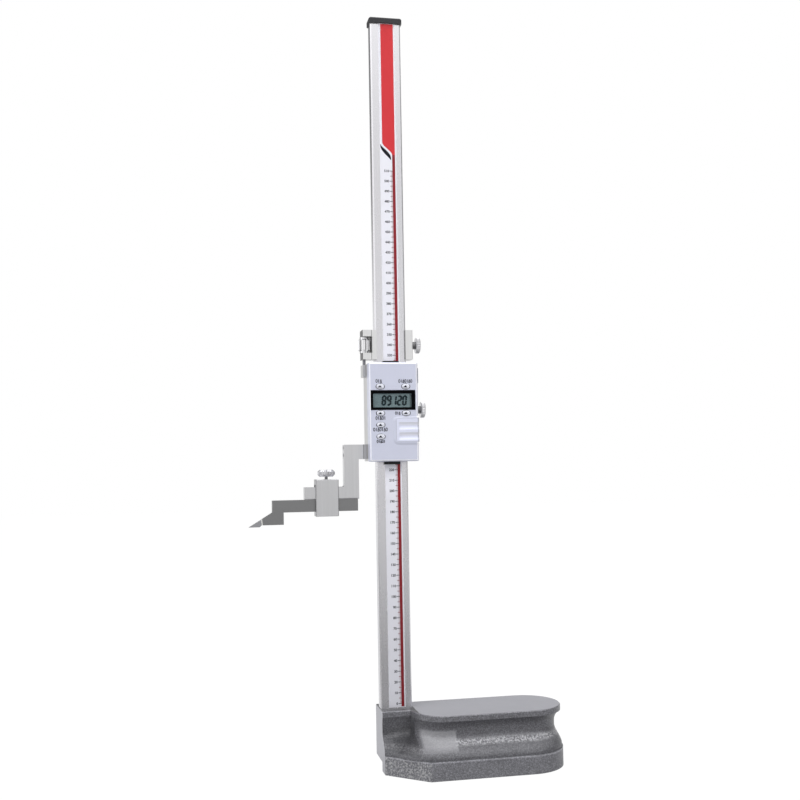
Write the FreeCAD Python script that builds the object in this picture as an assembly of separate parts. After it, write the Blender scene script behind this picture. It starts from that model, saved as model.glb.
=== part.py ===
import FreeCAD, Part
import math
import os

# Digital height gauge, 0 to 500 mm, in millimetres, +Z up.
# While modelling, X runs right from the base's nose face, Y runs back from the
# beam's middle plane and Z runs up from the surface plate. The finished pieces
# are then moved so that the origin is the middle of the footprint.

V = FreeCAD.Vector

# Base casting
base_length = 172.0
base_height = 55.0
front_reach = 58.5
back_reach = 18.5
table_reach = 49.0
nose_reach = 16.5
foot_reach = 26.5
bevel_length = 36.0
plinth_height = 17.3
plinth_step = 0.8
rim_height = 5.4
rim_round = 0.8
waist_depth = 5.3
nose_waist_share = 0.3
waist_foot = 0.06
waist_throat = 0.56
waist_lip = 0.684
lip_return = 0.8
sweep_steps = 8
lip_steps = 5
flare_start = 27.0
flare_end = 57.0
land_width = 12.0
pocket_depth = 8.3
foot_width = 14.5
toe_setback = 6.0

# Beam, its screws, strip, label and cap
beam_width = 30.0
beam_thickness = 12.0
beam_length = 664.5
beam_setback = 0.5
beam_bevel = 1.2
label_width = 16.0
label_offset = 7.8
label_thickness = 0.3
strip_thickness = 0.8
label_gap = 1.0
cap_roof = 2.1
cap_skirt = 3.3
cap_wall_side = 1.3
cap_wall_face = 2.0
cap_bevel = 1.1
foot_screw_radius = 3.0
foot_screw_head_radius = 5.0
foot_screw_head_height = 6.0
foot_screw_depth = 18.0
foot_screw_pitch = 15.0

# Slider frame
slide_gap = 0.1
slider_bottom = 288.0
slider_height = 92.3
slider_side = 9.1
slider_right_side = 6.7
slider_face = 3.9
back_plate_thickness = 3.9
window_margin = 1.6
window_end = 6.0
lug_reach = 3.2
lug_half_depth = 6.0
lower_lug_rise = 2.1
lower_lug_height = 13.9
upper_lug_rise = 80.4
upper_lug_height = 11.6
edge_bevel = 0.5
gib_thickness = 2.4
gib_half_depth = 5.0
gib_end_gap = 4.0
gib_screw_radius = 1.5
gib_screw_rise = (20.0, 70.0)
plate_screw_radius = 1.25
plate_screw_rise = (10.0, 80.0)
plate_screw_head_radius = 2.3
plate_screw_head_height = 1.3
plate_screw_depth = 9.0
wiper_height = 3.3
wiper_left_reach = 0.8
wiper_right_inset = 1.8
wiper_gap = 0.2

# Knurled knobs
knob_radius = 7.7
knob_thickness = 4.2
knob_bevel = 0.8
knob_teeth = 30
knurl_depth = 0.45
neck_radius = 3.6
screw_gap = 0.05
knob_gap = 0.2
lock_screw_radius = 2.5
lock_screw_rise = 48.8
lock_boss_radius = 5.0
lock_boss_length = 3.2
lock_neck = 4.1

# Fine adjustment
carriage_gap = 4.9
carriage_height = 28.4
carriage_right_side = 6.4
carriage_half_depth = 8.0
fine_screw_inset = 2.4
fine_screw_radius = 1.5
fine_screw_top_inset = 1.6
wheel_radius = 5.7
wheel_height = 11.4
wheel_hub_radius = 4.0
wheel_hub_height = 2.0
wheel_gap = 0.25
wheel_side_gap = 1.2
wheel_back_gap = 0.6
pad_radius = 4.0
pad_thickness = 2.4
pad_gap = 0.1
carriage_screw_radius = 2.0
carriage_neck = 3.9

# Measuring arm, clamp and scriber
arm_half_depth = 5.0
arm_neck = 5.0
leg_width = 14.0
arm_top_rise = 16.0
arm_bar_top_rise = -23.7
arm_bar_height = 11.7
arm_reach = 57.0
arm_fillet = 1.5
arm_bevel = 1.0
arm_screw_radius = 1.5
arm_screw_head_radius = 2.8
arm_screw_head_height = 3.2
arm_screw_socket = 1.6
arm_screw_inset = 3.4
arm_screw_bite = 6.0
scriber_half_depth = 4.0
scriber_height = 11.2
scriber_gap = 0.05
scriber_right = -18.0
scriber_left = -99.0
block_right = -88.5
block_left = -108.0
block_drop = 11.4
chin_left = -108.6
chin_rise = 5.5
braze_width = 1.0
tip_point = -121.0
tip_drop = 1.7
tip_heel = 2.0
tip_back_taper = 3.0
clamp_width = 21.7
clamp_left = -58.5
clamp_half_depth = 7.4
clamp_floor = 4.6
clamp_roof = 5.0
clamp_headroom = 2.2
thumb_radius = 8.3
thumb_thickness = 6.6
thumb_bevel = 2.0
thumb_neck = 2.5
thumb_stem_radius = 1.5

# Electronics housing
housing_width = 47.0
housing_height = 93.7
housing_drop = 0.6
housing_depth = 12.0
housing_wall = 2.0
housing_bevel = 1.2
housing_corner = 1.5
overlay_thickness = 0.25
overlay_inset = 1.9
bezel_width = 43.0
bezel_height = 18.9
bezel_shift = -0.7
bezel_rise = 57.85
bezel_proud = 0.4
bezel_seat = 1.2
window_width = 37.3
window_height = 13.2
window_shift = -0.6
window_drop = 0.35
glass_thickness = 1.0
glass_sink = 0.3
panel_thickness = 2.2
panel_border = 0.9
board_thickness = 1.6
board_gap = 0.5
strip_width = 1.8
head_gap = 0.3
head_side_gap = 1.0
key_width = 7.4
key_height = 4.6
key_proud = 0.9
key_gap = 0.15
key_flange = 0.6
key_flange_thickness = 1.0
key_stem = 2.4
key_travel = 0.6
key_dome = 0.5
switch_size = 5.0
switch_height = 2.4
left_keys = 10.6
right_keys = 35.2
top_key_rise = 70.7
hold_key_rise = 45.4
zero_key_rise = 34.4
unit_key_rise = 23.4
boss_radius = 2.4
housing_screw_radius = 1.0
housing_screw_head_radius = 1.9
housing_screw_head_height = 1.0
housing_screw_side = 5.0
housing_screw_end = 5.5
housing_screw_reach = 5.0

# Battery bay and cover
cover_width = 21.9
cover_height = 22.6
cover_rise = 18.3
cover_lip = 0.4
cover_corner = 3.0
cover_gap = 0.1
cover_tongue = 0.7
cover_tongue_thickness = 0.9
battery_rim_proud = 0.5
battery_rim_foot = 3.0
battery_rim_foot_top = 1.2
battery_rim_crest = 0.8
battery_rim_crest_top = 0.3
grip_rise = (5.4, 15.0)
grip_half_height = 3.4
grip_depth = 0.9
grip_left_margin = 3.0
cell_radius = 10.0
cell_thickness = 3.2
bay_wall = 1.2
bay_rim = 0.85
bay_side = 0.3
bay_floor = 1.2
contact_thickness = 0.3

# Data port
port_rise = 73.9
port_height = 14.6
port_depth = 6.0
port_from_face = 2.6
port_proud = 1.0
port_seat = 1.2
port_opening_inset = 1.4
connector_depth = 2.2

# Places worked out from the sizes above
beam_left = beam_setback
beam_right = beam_left + beam_width
beam_middle = (beam_left + beam_right) / 2
beam_half = beam_thickness / 2
beam_top = base_height + beam_length
label_left = beam_left + label_offset
label_right = label_left + label_width
label_recess = label_thickness + strip_thickness
label_bottom = base_height + label_gap
label_top = beam_top - cap_skirt
channel_half = beam_half + slide_gap
channel_left = beam_left - slide_gap
gib_left = beam_right + slide_gap
gib_right = gib_left + gib_thickness
channel_right = gib_right + slide_gap
slider_left = beam_left - slider_side - slide_gap
slider_right = beam_right + slide_gap + slider_right_side
slider_top = slider_bottom + slider_height
slider_front = -channel_half - slider_face
slider_back = channel_half + back_plate_thickness
lug_left = slider_left - lug_reach
housing_left = slider_left
housing_right = housing_left + housing_width
housing_bottom = slider_bottom - housing_drop
housing_top = housing_bottom + housing_height
housing_front = slider_front - housing_depth
housing_inside = housing_front + housing_wall
board_front = slider_front - board_thickness
cover_front = housing_front - battery_rim_proud
carriage_bottom = slider_top + carriage_gap
carriage_top = carriage_bottom + carriage_height
carriage_right = beam_right + carriage_right_side
fine_screw_x = lug_left + fine_screw_inset
arm_bar_top = slider_bottom + arm_bar_top_rise
arm_bar_bottom = arm_bar_top - arm_bar_height
leg_right = lug_left - arm_neck
leg_left = leg_right - leg_width
arm_end = lug_left - arm_reach
scriber_top = arm_bar_bottom - scriber_gap
scriber_bottom = scriber_top - scriber_height
block_bottom = scriber_bottom - block_drop
tip_bottom = block_bottom - tip_drop
clamp_bottom = scriber_bottom - scriber_gap - clamp_floor
clamp_top = arm_bar_top + clamp_headroom + clamp_roof
origin_x = (base_length + tip_point) / 2
origin_y = (back_reach - front_reach) / 2


# Simple solids

def block(xs, ys, zs):
    return Part.makeBox(xs[1] - xs[0], ys[1] - ys[0], zs[1] - zs[0], V(xs[0], ys[0], zs[0]))


def rod_x(y, z, xs, radius):
    return Part.makeCylinder(radius, xs[1] - xs[0], V(xs[0], y, z), V(1, 0, 0))


def rod_y(x, z, ys, radius):
    return Part.makeCylinder(radius, ys[1] - ys[0], V(x, ys[0], z), V(0, 1, 0))


def rod_z(x, y, zs, radius):
    return Part.makeCylinder(radius, zs[1] - zs[0], V(x, y, zs[0]), V(0, 0, 1))


def prism_z(points, zs):
    corners = [V(x, y, zs[0]) for x, y in points]
    return Part.Face(Part.makePolygon(corners + corners[:1])).extrude(V(0, 0, zs[1] - zs[0]))


def prism_y(points, ys):
    corners = [V(x, ys[0], z) for x, z in points]
    return Part.Face(Part.makePolygon(corners + corners[:1])).extrude(V(0, ys[1] - ys[0], 0))


def stadium(x, z, width, height, ys):
    """An oval with straight long sides, along Y."""
    half = (width - height) / 2
    bar = block((x - half, x + half), ys, (z - height / 2, z + height / 2))
    ends = [rod_y(x + side * half, z, ys, height / 2) for side in (-1, 1)]
    return bar.multiFuse(ends).removeSplitter()


def knurl_ring(radius, z, teeth, share):
    """The corners of a straight-knurled outline, shrunk by a share."""
    corners = []
    for step in range(2 * teeth):
        reach = share * (radius if step % 2 == 0 else radius - knurl_depth)
        angle = math.pi * step / teeth
        corners.append(V(reach * math.cos(angle), reach * math.sin(angle), z))
    return corners


def knurled_disc(radius, thickness, bevel, teeth):
    """A straight-knurled disc standing on z = 0, with both rims bevelled, all in flat faces."""
    share = (radius - bevel) / radius
    rings = [
        knurl_ring(radius, 0, teeth, share),
        knurl_ring(radius, bevel, teeth, 1.0),
        knurl_ring(radius, thickness - bevel, teeth, 1.0),
        knurl_ring(radius, thickness, teeth, share),
    ]
    faces = [Part.Face(Part.makePolygon(ring + ring[:1])) for ring in (rings[0], rings[-1])]
    for lower, upper in zip(rings, rings[1:]):
        for step in range(2 * teeth):
            following = (step + 1) % (2 * teeth)
            corners = [lower[step], lower[following], upper[following], upper[step]]
            faces.append(Part.Face(Part.makePolygon(corners + corners[:1])))
    return Part.makeSolid(Part.makeShell(faces))


def turned_to_x(shape, x, y, z):
    turned = shape.copy()
    turned.rotate(V(0, 0, 0), V(0, 1, 0), 90)
    turned.translate(V(x, y, z))
    return turned


def cap_screw_y(x, z, face, depth, radius, head_radius, head_height):
    """A flat-headed screw along Y, sunk so that its head is flush with the plane y = face."""
    way = 1 if depth > 0 else -1
    head = Part.makeCylinder(head_radius, head_height, V(x, face, z), V(0, way, 0))
    shank = Part.makeCylinder(radius, abs(depth), V(x, face, z), V(0, way, 0))
    return head.fuse(shank)


def upright_edges(shape):
    found = []
    for edge in shape.Edges:
        low, high = edge.BoundBox, edge.BoundBox
        if low.XLength < 1e-6 and high.YLength < 1e-6:
            found.append(edge)
    return found


def edges_on(shape, axis, value):
    """The edges that lie in the plane where the axis, 0 to 2, has this value."""
    found = []
    for edge in shape.Edges:
        box = edge.BoundBox
        low = (box.XMin, box.YMin, box.ZMin)[axis]
        high = (box.XMax, box.YMax, box.ZMax)[axis]
        if abs(low - value) < 1e-5 and abs(high - value) < 1e-5:
            found.append(edge)
    return found


# Base casting: a bevelled plinth, a waist swept round the front and the right
# end, and a flared table above it; the nose face and the back are machined flat

def body_outline(z, blend, inset, step):
    """A closed outline at height z, between the plinth's (blend 0) and the table's (blend 1)."""
    def mix(low, high):
        return low + (high - low) * blend

    overrun = 2.0
    front = mix(front_reach - step, table_reach) - inset
    nose = mix(foot_reach - step, nose_reach) - inset * nose_waist_share
    end = base_length - step * (1 - blend) - inset
    back = back_reach + overrun
    bevel_rate = (front_reach - foot_reach) / bevel_length
    inner = flare_start * mix(0.4, 1.0)
    wall = nose + mix(bevel_rate * inner, 0.0)
    start = V(-overrun, -nose + mix(bevel_rate, 0.0) * overrun, z)
    turn = V(inner, -wall, z)
    straight = V(flare_end, -front, z)
    lean_in = V(inner + 0.10 * (flare_end - inner), -wall - 0.55 * (front - wall), z)
    lean_out = V(flare_end - mix(0.55, 0.65) * (flare_end - inner), -front, z)
    radius = (front + back_reach) / 2
    centre = V(end - radius, back_reach - radius, z)
    tip = centre + V(radius, 0, 0)
    low_mid = centre + V(radius * math.cos(math.pi / 4), -radius * math.sin(math.pi / 4), 0)
    high_mid = centre + V(radius * math.cos(math.pi / 4), radius * math.sin(math.pi / 4), 0)
    flare = Part.BezierCurve()
    flare.setPoles([turn, lean_in, lean_out, straight])
    shoulder = V(centre.x, -front, z)
    heel = V(centre.x, back_reach, z)
    edges = [
        Part.makeLine(V(-overrun, back, z), start),
        Part.makeLine(start, turn),
        flare.toShape(),
        Part.makeLine(straight, shoulder),
        Part.Arc(shoulder, low_mid, tip).toShape(),
        Part.Arc(tip, high_mid, heel).toShape(),
        Part.makeLine(heel, V(centre.x, back, z)),
        Part.makeLine(V(centre.x, back, z), V(-overrun, back, z)),
    ]
    return Part.Wire(edges)


def plinth_outline(z, inset):
    """The plinth's outline: machined nose, bevelled front corner, round right end."""
    radius = (front_reach + back_reach) / 2
    centre = V(base_length - radius, back_reach - radius, z)
    small = radius - inset
    bevel_rate = (front_reach - foot_reach) / bevel_length
    slant = inset * math.sqrt(1 + bevel_rate ** 2)
    corner_x = bevel_length + (slant - inset) / bevel_rate
    low = -front_reach + inset
    mids = [centre + V(small * math.cos(a), small * math.sin(a), 0) for a in (-math.pi / 4, math.pi / 4)]
    edges = [
        Part.makeLine(V(inset, back_reach - inset, z), V(inset, -foot_reach - bevel_rate * inset + slant, z)),
        Part.makeLine(V(inset, -foot_reach - bevel_rate * inset + slant, z), V(corner_x, low, z)),
        Part.makeLine(V(corner_x, low, z), V(centre.x, low, z)),
        Part.Arc(V(centre.x, low, z), mids[0], centre + V(small, 0, 0)).toShape(),
        Part.Arc(centre + V(small, 0, 0), mids[1], V(centre.x, back_reach - inset, z)).toShape(),
        Part.makeLine(V(centre.x, back_reach - inset, z), V(inset, back_reach - inset, z)),
    ]
    return Part.Wire(edges)


def waist_stations():
    """(height share, blend, inset share) from the plinth's top up to the rim: a sweep in, then a lip out."""
    stations = []
    for step in range(sweep_steps + 1):
        share = step / sweep_steps
        ease = share * share * (3 - 2 * share)
        stations.append((waist_foot + (waist_throat - waist_foot) * share, ease, ease))
    for step in range(lip_steps + 1):
        share = step / lip_steps
        stations.append((waist_lip + (1 - waist_lip) * share, 1.0, 1 - lip_return * share * share))
    return stations


def base_casting():
    plinth = Part.Face(plinth_outline(0, 0)).extrude(V(0, 0, plinth_height))
    corner = [e for e in upright_edges(plinth) if abs(e.BoundBox.XMin - bevel_length) < 1e-6]
    plinth = plinth.makeFillet(3.0, corner)
    rim_bottom = base_height - rim_height
    rise = rim_bottom - plinth_height
    sink = 1.0
    outlines = [body_outline(plinth_height - sink, 0.0, 0.0, plinth_step)]
    for share, blend, inset in waist_stations():
        outlines.append(body_outline(plinth_height + share * rise, blend, inset * waist_depth, plinth_step))
    outlines.append(body_outline(rim_bottom + sink, 1.0, (1 - lip_return) * waist_depth, plinth_step))
    waist = Part.makeLoft(outlines, True, True)
    table = Part.Face(body_outline(rim_bottom, 1.0, 0.0, plinth_step)).extrude(V(0, 0, rim_height))
    stock = block((0, base_length + 1), (-front_reach - 1, back_reach), (0, base_height))
    upper = waist.fuse(table).common(stock)
    top_rim = [e for e in edges_on(upper, 2, base_height) if e.BoundBox.YMax < back_reach - 1e-3]
    front_rim = [e for e in top_rim if e.BoundBox.XMax > 1e-3 or e.BoundBox.XMin > 1e-3]
    upper = upper.makeChamfer(rim_round, front_rim)
    body = plinth.fuse(upper).removeSplitter()

    pocket = Part.Face(plinth_outline(0, land_width)).extrude(V(0, 0, pocket_depth))
    toe = block((-1, toe_setback), (-foot_reach + foot_width, back_reach + 1), (-1, pocket_depth))
    arch = block((-1, land_width + 1), (-foot_reach + foot_width, back_reach - land_width), (-1, pocket_depth))
    body = body.cut(pocket).cut(toe).cut(arch)

    for x in foot_screw_places():
        body = body.cut(rod_z(x, 0, (0, base_height), foot_screw_radius + 0.3))
        head_top = pocket_depth + foot_screw_head_height + 1.0
        body = body.cut(rod_z(x, 0, (0, head_top), foot_screw_head_radius + 0.5))
    return body


def foot_screw_places():
    return [beam_middle - foot_screw_pitch / 2, beam_middle + foot_screw_pitch / 2]


def beam_screws():
    screws = []
    seat = pocket_depth + foot_screw_head_height + 1.0
    for x in foot_screw_places():
        head = rod_z(x, 0, (seat - foot_screw_head_height, seat), foot_screw_head_radius)
        socket_points = []
        for step in range(6):
            angle = math.pi / 3 * step
            socket_points.append((x + 2.9 * math.cos(angle), 2.9 * math.sin(angle)))
        socket = prism_z(socket_points, (seat - foot_screw_head_height - 1, seat - foot_screw_head_height / 2))
        shank = rod_z(x, 0, (seat - 1, base_height + foot_screw_depth), foot_screw_radius)
        screws.append(head.cut(socket).fuse(shank).removeSplitter())
    return Part.makeCompound(screws)


# Beam and what it carries

def beam():
    bar = block((beam_left, beam_right), (-beam_half, beam_half), (base_height, beam_top))
    bar = bar.makeChamfer(beam_bevel, upright_edges(bar))
    recess = block((label_left, label_right), (-beam_half - 1, -beam_half + label_recess), (label_bottom, beam_top + 1))
    bar = bar.cut(recess)
    for x in foot_screw_places():
        bar = bar.cut(rod_z(x, 0, (base_height - 1, base_height + foot_screw_depth), foot_screw_radius))
    return bar


def grating_strip():
    back = -beam_half + label_recess
    return block((label_left, label_right), (back - strip_thickness, back), (label_bottom, label_top))


def scale_label():
    return block((label_left, label_right), (-beam_half, -beam_half + label_thickness), (label_bottom, label_top))


def beam_cap():
    outer = block(
        (beam_left - cap_wall_side, beam_right + cap_wall_side),
        (-beam_half - cap_wall_face, beam_half + cap_wall_face),
        (beam_top - cap_skirt, beam_top + cap_roof),
    )
    outer = outer.makeFillet(2.0, upright_edges(outer))
    top_rim = edges_on(outer, 2, beam_top + cap_roof)
    outer = outer.makeChamfer(cap_bevel, top_rim)
    socket = block((beam_left, beam_right), (-beam_half, beam_half), (beam_top - cap_skirt, beam_top))
    socket = socket.makeChamfer(beam_bevel, upright_edges(socket))
    tongue = block(
        (label_left, label_right),
        (-beam_half, -beam_half + label_recess),
        (beam_top - cap_skirt, beam_top),
    )
    return outer.cut(socket).fuse(tongue).removeSplitter()


# Slider frame and what is fixed to it

def slider_frame():
    frame = block((slider_left, slider_right), (slider_front, channel_half), (slider_bottom, slider_top))
    lug_ys = (-lug_half_depth, lug_half_depth)
    lower = slider_bottom + lower_lug_rise
    upper = slider_bottom + upper_lug_rise
    frame = frame.fuse(block((lug_left, channel_left), lug_ys, (lower, lower + lower_lug_height)))
    frame = frame.fuse(block((lug_left, channel_left), lug_ys, (upper, upper + upper_lug_height)))
    lock_z = slider_bottom + lock_screw_rise
    boss = rod_x(0, lock_z, (channel_right, slider_right + lock_boss_length), lock_boss_radius)
    frame = frame.fuse(boss).removeSplitter()
    channel = block(
        (channel_left, channel_right),
        (-channel_half, channel_half + 1),
        (slider_bottom - 1, slider_top + upper_lug_height),
    )
    frame = frame.cut(channel)
    sight = block(
        (label_left - window_margin, label_right + window_margin),
        (slider_front - 1, 0),
        (slider_bottom + window_end, slider_top - window_end),
    )
    frame = frame.cut(sight)
    holes = [lock_screw_hole(), fine_screw_hole(), arm_screw_shanks()]
    holes += [gib_screw(rise) for rise in gib_screw_rise]
    holes += [plate_screw(x, rise) for x in plate_screw_sides() for rise in plate_screw_rise]
    holes += [housing_screw(x, z) for x, z in housing_screw_places()]
    return frame.cut(Part.makeCompound(holes))


def lock_screw_hole():
    z = slider_bottom + lock_screw_rise
    return rod_x(0, z, (gib_right, slider_right + lock_boss_length + 1), lock_screw_radius + screw_gap)


def fine_screw_hole():
    bottom = slider_bottom + upper_lug_rise + 1.5
    return rod_z(fine_screw_x, 0, (bottom, slider_top + upper_lug_height), fine_screw_radius)


def plate_screw_sides():
    return [slider_left + slider_side / 2, (channel_right + slider_right) / 2]


def plate_screw(x, rise):
    z = slider_bottom + rise
    head = (plate_screw_head_radius, plate_screw_head_height)
    return cap_screw_y(x, z, slider_back, -plate_screw_depth, plate_screw_radius, *head)


def back_plate_screws():
    return Part.makeCompound([plate_screw(x, rise) for x in plate_screw_sides() for rise in plate_screw_rise])


def slider_back_plate():
    plate = block((slider_left, slider_right), (channel_half, slider_back), (slider_bottom, slider_top))
    plate = plate.makeChamfer(edge_bevel, edges_on(plate, 1, slider_back))
    return plate.cut(back_plate_screws())


def slider_gib():
    zs = (slider_bottom + gib_end_gap, slider_top - gib_end_gap)
    return block((gib_left, gib_right), (-gib_half_depth, gib_half_depth), zs)


def gib_screw(rise):
    return rod_x(0, slider_bottom + rise, (gib_right, slider_right - 0.4), gib_screw_radius)


def gib_screws():
    screws = []
    for rise in gib_screw_rise:
        slot_z = slider_bottom + rise
        slot = block((slider_right - 1.4, slider_right), (-2, 2), (slot_z - 0.3, slot_z + 0.3))
        screws.append(gib_screw(rise).cut(slot))
    return Part.makeCompound(screws)


def slider_wipers():
    ys = (slider_front + 0.4, -beam_half - wiper_gap)
    xs = (label_left - wiper_left_reach, label_right - wiper_right_inset)
    lower = block(xs, ys, (slider_bottom - wiper_height, slider_bottom))
    upper = block(xs, ys, (slider_top, slider_top + wiper_height))
    return Part.makeCompound([lower, upper])


def knob_screw(x_tip, x_hub, neck, z, radius):
    """A lock screw along +X: stem from x_tip, neck from x_hub, then the knurled knob."""
    knob = knurled_disc(knob_radius, knob_thickness, knob_bevel, knob_teeth)
    knob = turned_to_x(knob, x_hub + neck, 0, z)
    dimple = rod_x(0, z, (x_hub + neck + knob_thickness - 0.6, x_hub + neck + knob_thickness + 1), knob_radius - 2.6)
    neck_rod = rod_x(0, z, (x_hub, x_hub + neck), neck_radius)
    stem = rod_x(0, z, (x_tip, x_hub + neck), radius)
    return knob.cut(dimple).fuse(neck_rod).fuse(stem).removeSplitter()


def slider_lock_screw():
    z = slider_bottom + lock_screw_rise
    hub = slider_right + lock_boss_length + knob_gap
    return knob_screw(gib_right + screw_gap, hub, lock_neck, z, lock_screw_radius)


# Fine adjustment

def wheel_bottom():
    return (carriage_bottom + carriage_top) / 2 - wheel_height / 2 - wheel_hub_height


def carriage_frame():
    body = block(
        (lug_left, carriage_right),
        (-carriage_half_depth, carriage_half_depth),
        (carriage_bottom, carriage_top),
    )
    body = body.makeChamfer(edge_bevel, [e for e in upright_edges(body)])
    bore = block(
        (beam_left - slide_gap, beam_right + slide_gap),
        (-beam_half - slide_gap, beam_half + slide_gap),
        (carriage_bottom - 1, carriage_top + 1),
    )
    bore = bore.makeChamfer(beam_bevel, upright_edges(bore))
    mouth = block(
        (beam_left + beam_bevel, beam_right - beam_bevel),
        (-carriage_half_depth - 1, 0),
        (carriage_bottom - 1, carriage_top + 1),
    )
    bottom = wheel_bottom() - wheel_gap
    top = wheel_bottom() + wheel_height + 2 * wheel_hub_height + wheel_gap
    wheel_window = block(
        (lug_left - 1, fine_screw_x + wheel_radius + wheel_side_gap),
        (-carriage_half_depth - 1, wheel_radius + wheel_back_gap),
        (bottom, top),
    )
    screw_way = rod_z(fine_screw_x, 0, (carriage_bottom - 1, carriage_top + 1), fine_screw_radius + 0.15)
    z = (carriage_bottom + carriage_top) / 2
    lock_way = rod_x(0, z, (beam_right, carriage_right + 1), carriage_screw_radius + screw_gap)
    pad_seat = rod_x(0, z, (beam_right - 1, gib_left + pad_thickness + slide_gap), pad_radius)
    return body.cut(Part.makeCompound([bore, mouth, wheel_window, screw_way, lock_way, pad_seat]))


def fine_adjust_wheel():
    bottom = wheel_bottom()
    wheel = knurled_disc(wheel_radius, wheel_height, 1.0, 24)
    wheel.translate(V(fine_screw_x, 0, bottom + wheel_hub_height))
    hub = rod_z(fine_screw_x, 0, (bottom, bottom + wheel_height + 2 * wheel_hub_height), wheel_hub_radius)
    bore = rod_z(fine_screw_x, 0, (bottom - 1, carriage_top), fine_screw_radius + screw_gap)
    return wheel.fuse(hub).cut(bore)


def fine_adjust_screw():
    bottom = slider_bottom + upper_lug_rise + 1.5
    return rod_z(fine_screw_x, 0, (bottom, carriage_top - fine_screw_top_inset), fine_screw_radius)


def carriage_pad():
    z = (carriage_bottom + carriage_top) / 2
    return rod_x(0, z, (gib_left, gib_left + pad_thickness), pad_radius)


def carriage_lock_screw():
    z = (carriage_bottom + carriage_top) / 2
    tip = gib_left + pad_thickness + slide_gap + screw_gap
    return knob_screw(tip, carriage_right + knob_gap, carriage_neck, z, carriage_screw_radius)


# Measuring arm, clamp and scriber

def arm_screw_heights():
    lower = slider_bottom + lower_lug_rise
    return [lower + arm_screw_inset, lower + lower_lug_height - arm_screw_inset]


def arm_screw_shanks():
    xs = (leg_left + arm_screw_head_height, channel_left - 9.0 + arm_screw_bite)
    return Part.makeCompound([rod_x(0, z, xs, arm_screw_radius) for z in arm_screw_heights()])


def arm_screws():
    screws = []
    for z in arm_screw_heights():
        head = rod_x(0, z, (leg_left + 0.3, leg_left + arm_screw_head_height), arm_screw_head_radius)
        half = arm_screw_socket / 2
        socket = block((leg_left, leg_left + 1.8), (-half, half), (z - half, z + half))
        xs = (leg_left + arm_screw_head_height, channel_left - 9.0 + arm_screw_bite)
        screws.append(head.cut(socket).fuse(rod_x(0, z, xs, arm_screw_radius)).removeSplitter())
    return Part.makeCompound(screws)


def measuring_arm():
    top = slider_bottom + arm_top_rise
    lug_bottom = slider_bottom + lower_lug_rise
    ys = (-arm_half_depth, arm_half_depth)
    profile = [
        (lug_left, top),
        (leg_left, top),
        (leg_left, arm_bar_top),
        (arm_end, arm_bar_top),
        (arm_end, arm_bar_bottom),
        (leg_right, arm_bar_bottom),
        (leg_right, lug_bottom),
        (lug_left, lug_bottom),
    ]
    arm = prism_y(profile, ys)
    inner = []
    for edge in arm.Edges:
        box = edge.BoundBox
        along_y = box.XLength < 1e-6 and box.ZLength < 1e-6
        if along_y and abs(box.XMin - leg_left) < 1e-6 and abs(box.ZMin - arm_bar_top) < 1e-6:
            inner.append(edge)
    arm = arm.makeFillet(arm_fillet, inner)
    arm = arm.makeChamfer(arm_bevel, [e for e in edges_on(arm, 2, arm_bar_bottom) if e.BoundBox.XLength > 1])
    heads = [rod_x(0, z, (leg_left - 1, leg_left + arm_screw_head_height), arm_screw_head_radius)
             for z in arm_screw_heights()]
    return arm.cut(Part.makeCompound(heads)).cut(arm_screw_shanks())


def scriber_body():
    profile = [
        (scriber_left, scriber_top),
        (scriber_right, scriber_top),
        (scriber_right, scriber_bottom),
        (block_right, scriber_bottom),
        (block_right, block_bottom),
        (block_left, block_bottom),
        (chin_left, block_bottom + chin_rise),
        (scriber_left, scriber_bottom),
    ]
    return prism_y(profile, (-scriber_half_depth, scriber_half_depth))


def tip_slope():
    """Height gained per millimetre along the scriber's sloped upper edge."""
    return (scriber_bottom - block_bottom - chin_rise) / (scriber_left - chin_left)


def braze_seam():
    profile = [
        (block_left, block_bottom),
        (chin_left, block_bottom + chin_rise),
        (chin_left - braze_width, block_bottom + chin_rise - braze_width * tip_slope()),
        (block_left - braze_width, block_bottom),
    ]
    return prism_y(profile, (-scriber_half_depth, scriber_half_depth))


def carbide_tip():
    profile = [
        (block_left - braze_width, block_bottom),
        (chin_left - braze_width, block_bottom + chin_rise - braze_width * tip_slope()),
        (tip_point, tip_bottom + 0.1),
        (tip_point, tip_bottom),
        (block_left - braze_width - tip_heel, tip_bottom),
    ]
    tip = prism_y(profile, (-scriber_half_depth, scriber_half_depth))
    relief = prism_z(
        [
            (block_left, scriber_half_depth + 0.01),
            (tip_point - 1, scriber_half_depth + 0.01),
            (tip_point - 1, -scriber_half_depth + tip_back_taper),
            (chin_left - braze_width - 0.5, scriber_half_depth + 0.01),
        ],
        (tip_bottom - 1, scriber_top),
    )
    return tip.cut(relief)


def scriber_clamp():
    xs = (clamp_left, clamp_left + clamp_width)
    shell = block(xs, (-clamp_half_depth, clamp_half_depth), (clamp_bottom, clamp_top))
    shell = shell.makeChamfer(edge_bevel, shell.Edges)
    way = block(
        (xs[0] - 1, xs[1] + 1),
        (-arm_half_depth - slide_gap, arm_half_depth + slide_gap),
        (clamp_bottom + clamp_floor, clamp_top - clamp_roof),
    )
    x = clamp_left + clamp_width / 2
    screw_way = rod_z(x, 0, (clamp_top - clamp_roof - 1, clamp_top + 1), thumb_stem_radius + screw_gap)
    return shell.cut(way).cut(screw_way)


def clamp_screw():
    x = clamp_left + clamp_width / 2
    head_bottom = clamp_top + thumb_neck
    head = knurled_disc(thumb_radius, thumb_thickness, thumb_bevel, knob_teeth)
    head.translate(V(x, 0, head_bottom))
    dish = rod_z(x, 0, (head_bottom + thumb_thickness - 0.8, head_bottom + thumb_thickness + 1), thumb_radius - 3.0)
    stem = rod_z(x, 0, (arm_bar_top + screw_gap, head_bottom + 1), thumb_stem_radius)
    return head.cut(dish).fuse(stem).removeSplitter()


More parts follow.
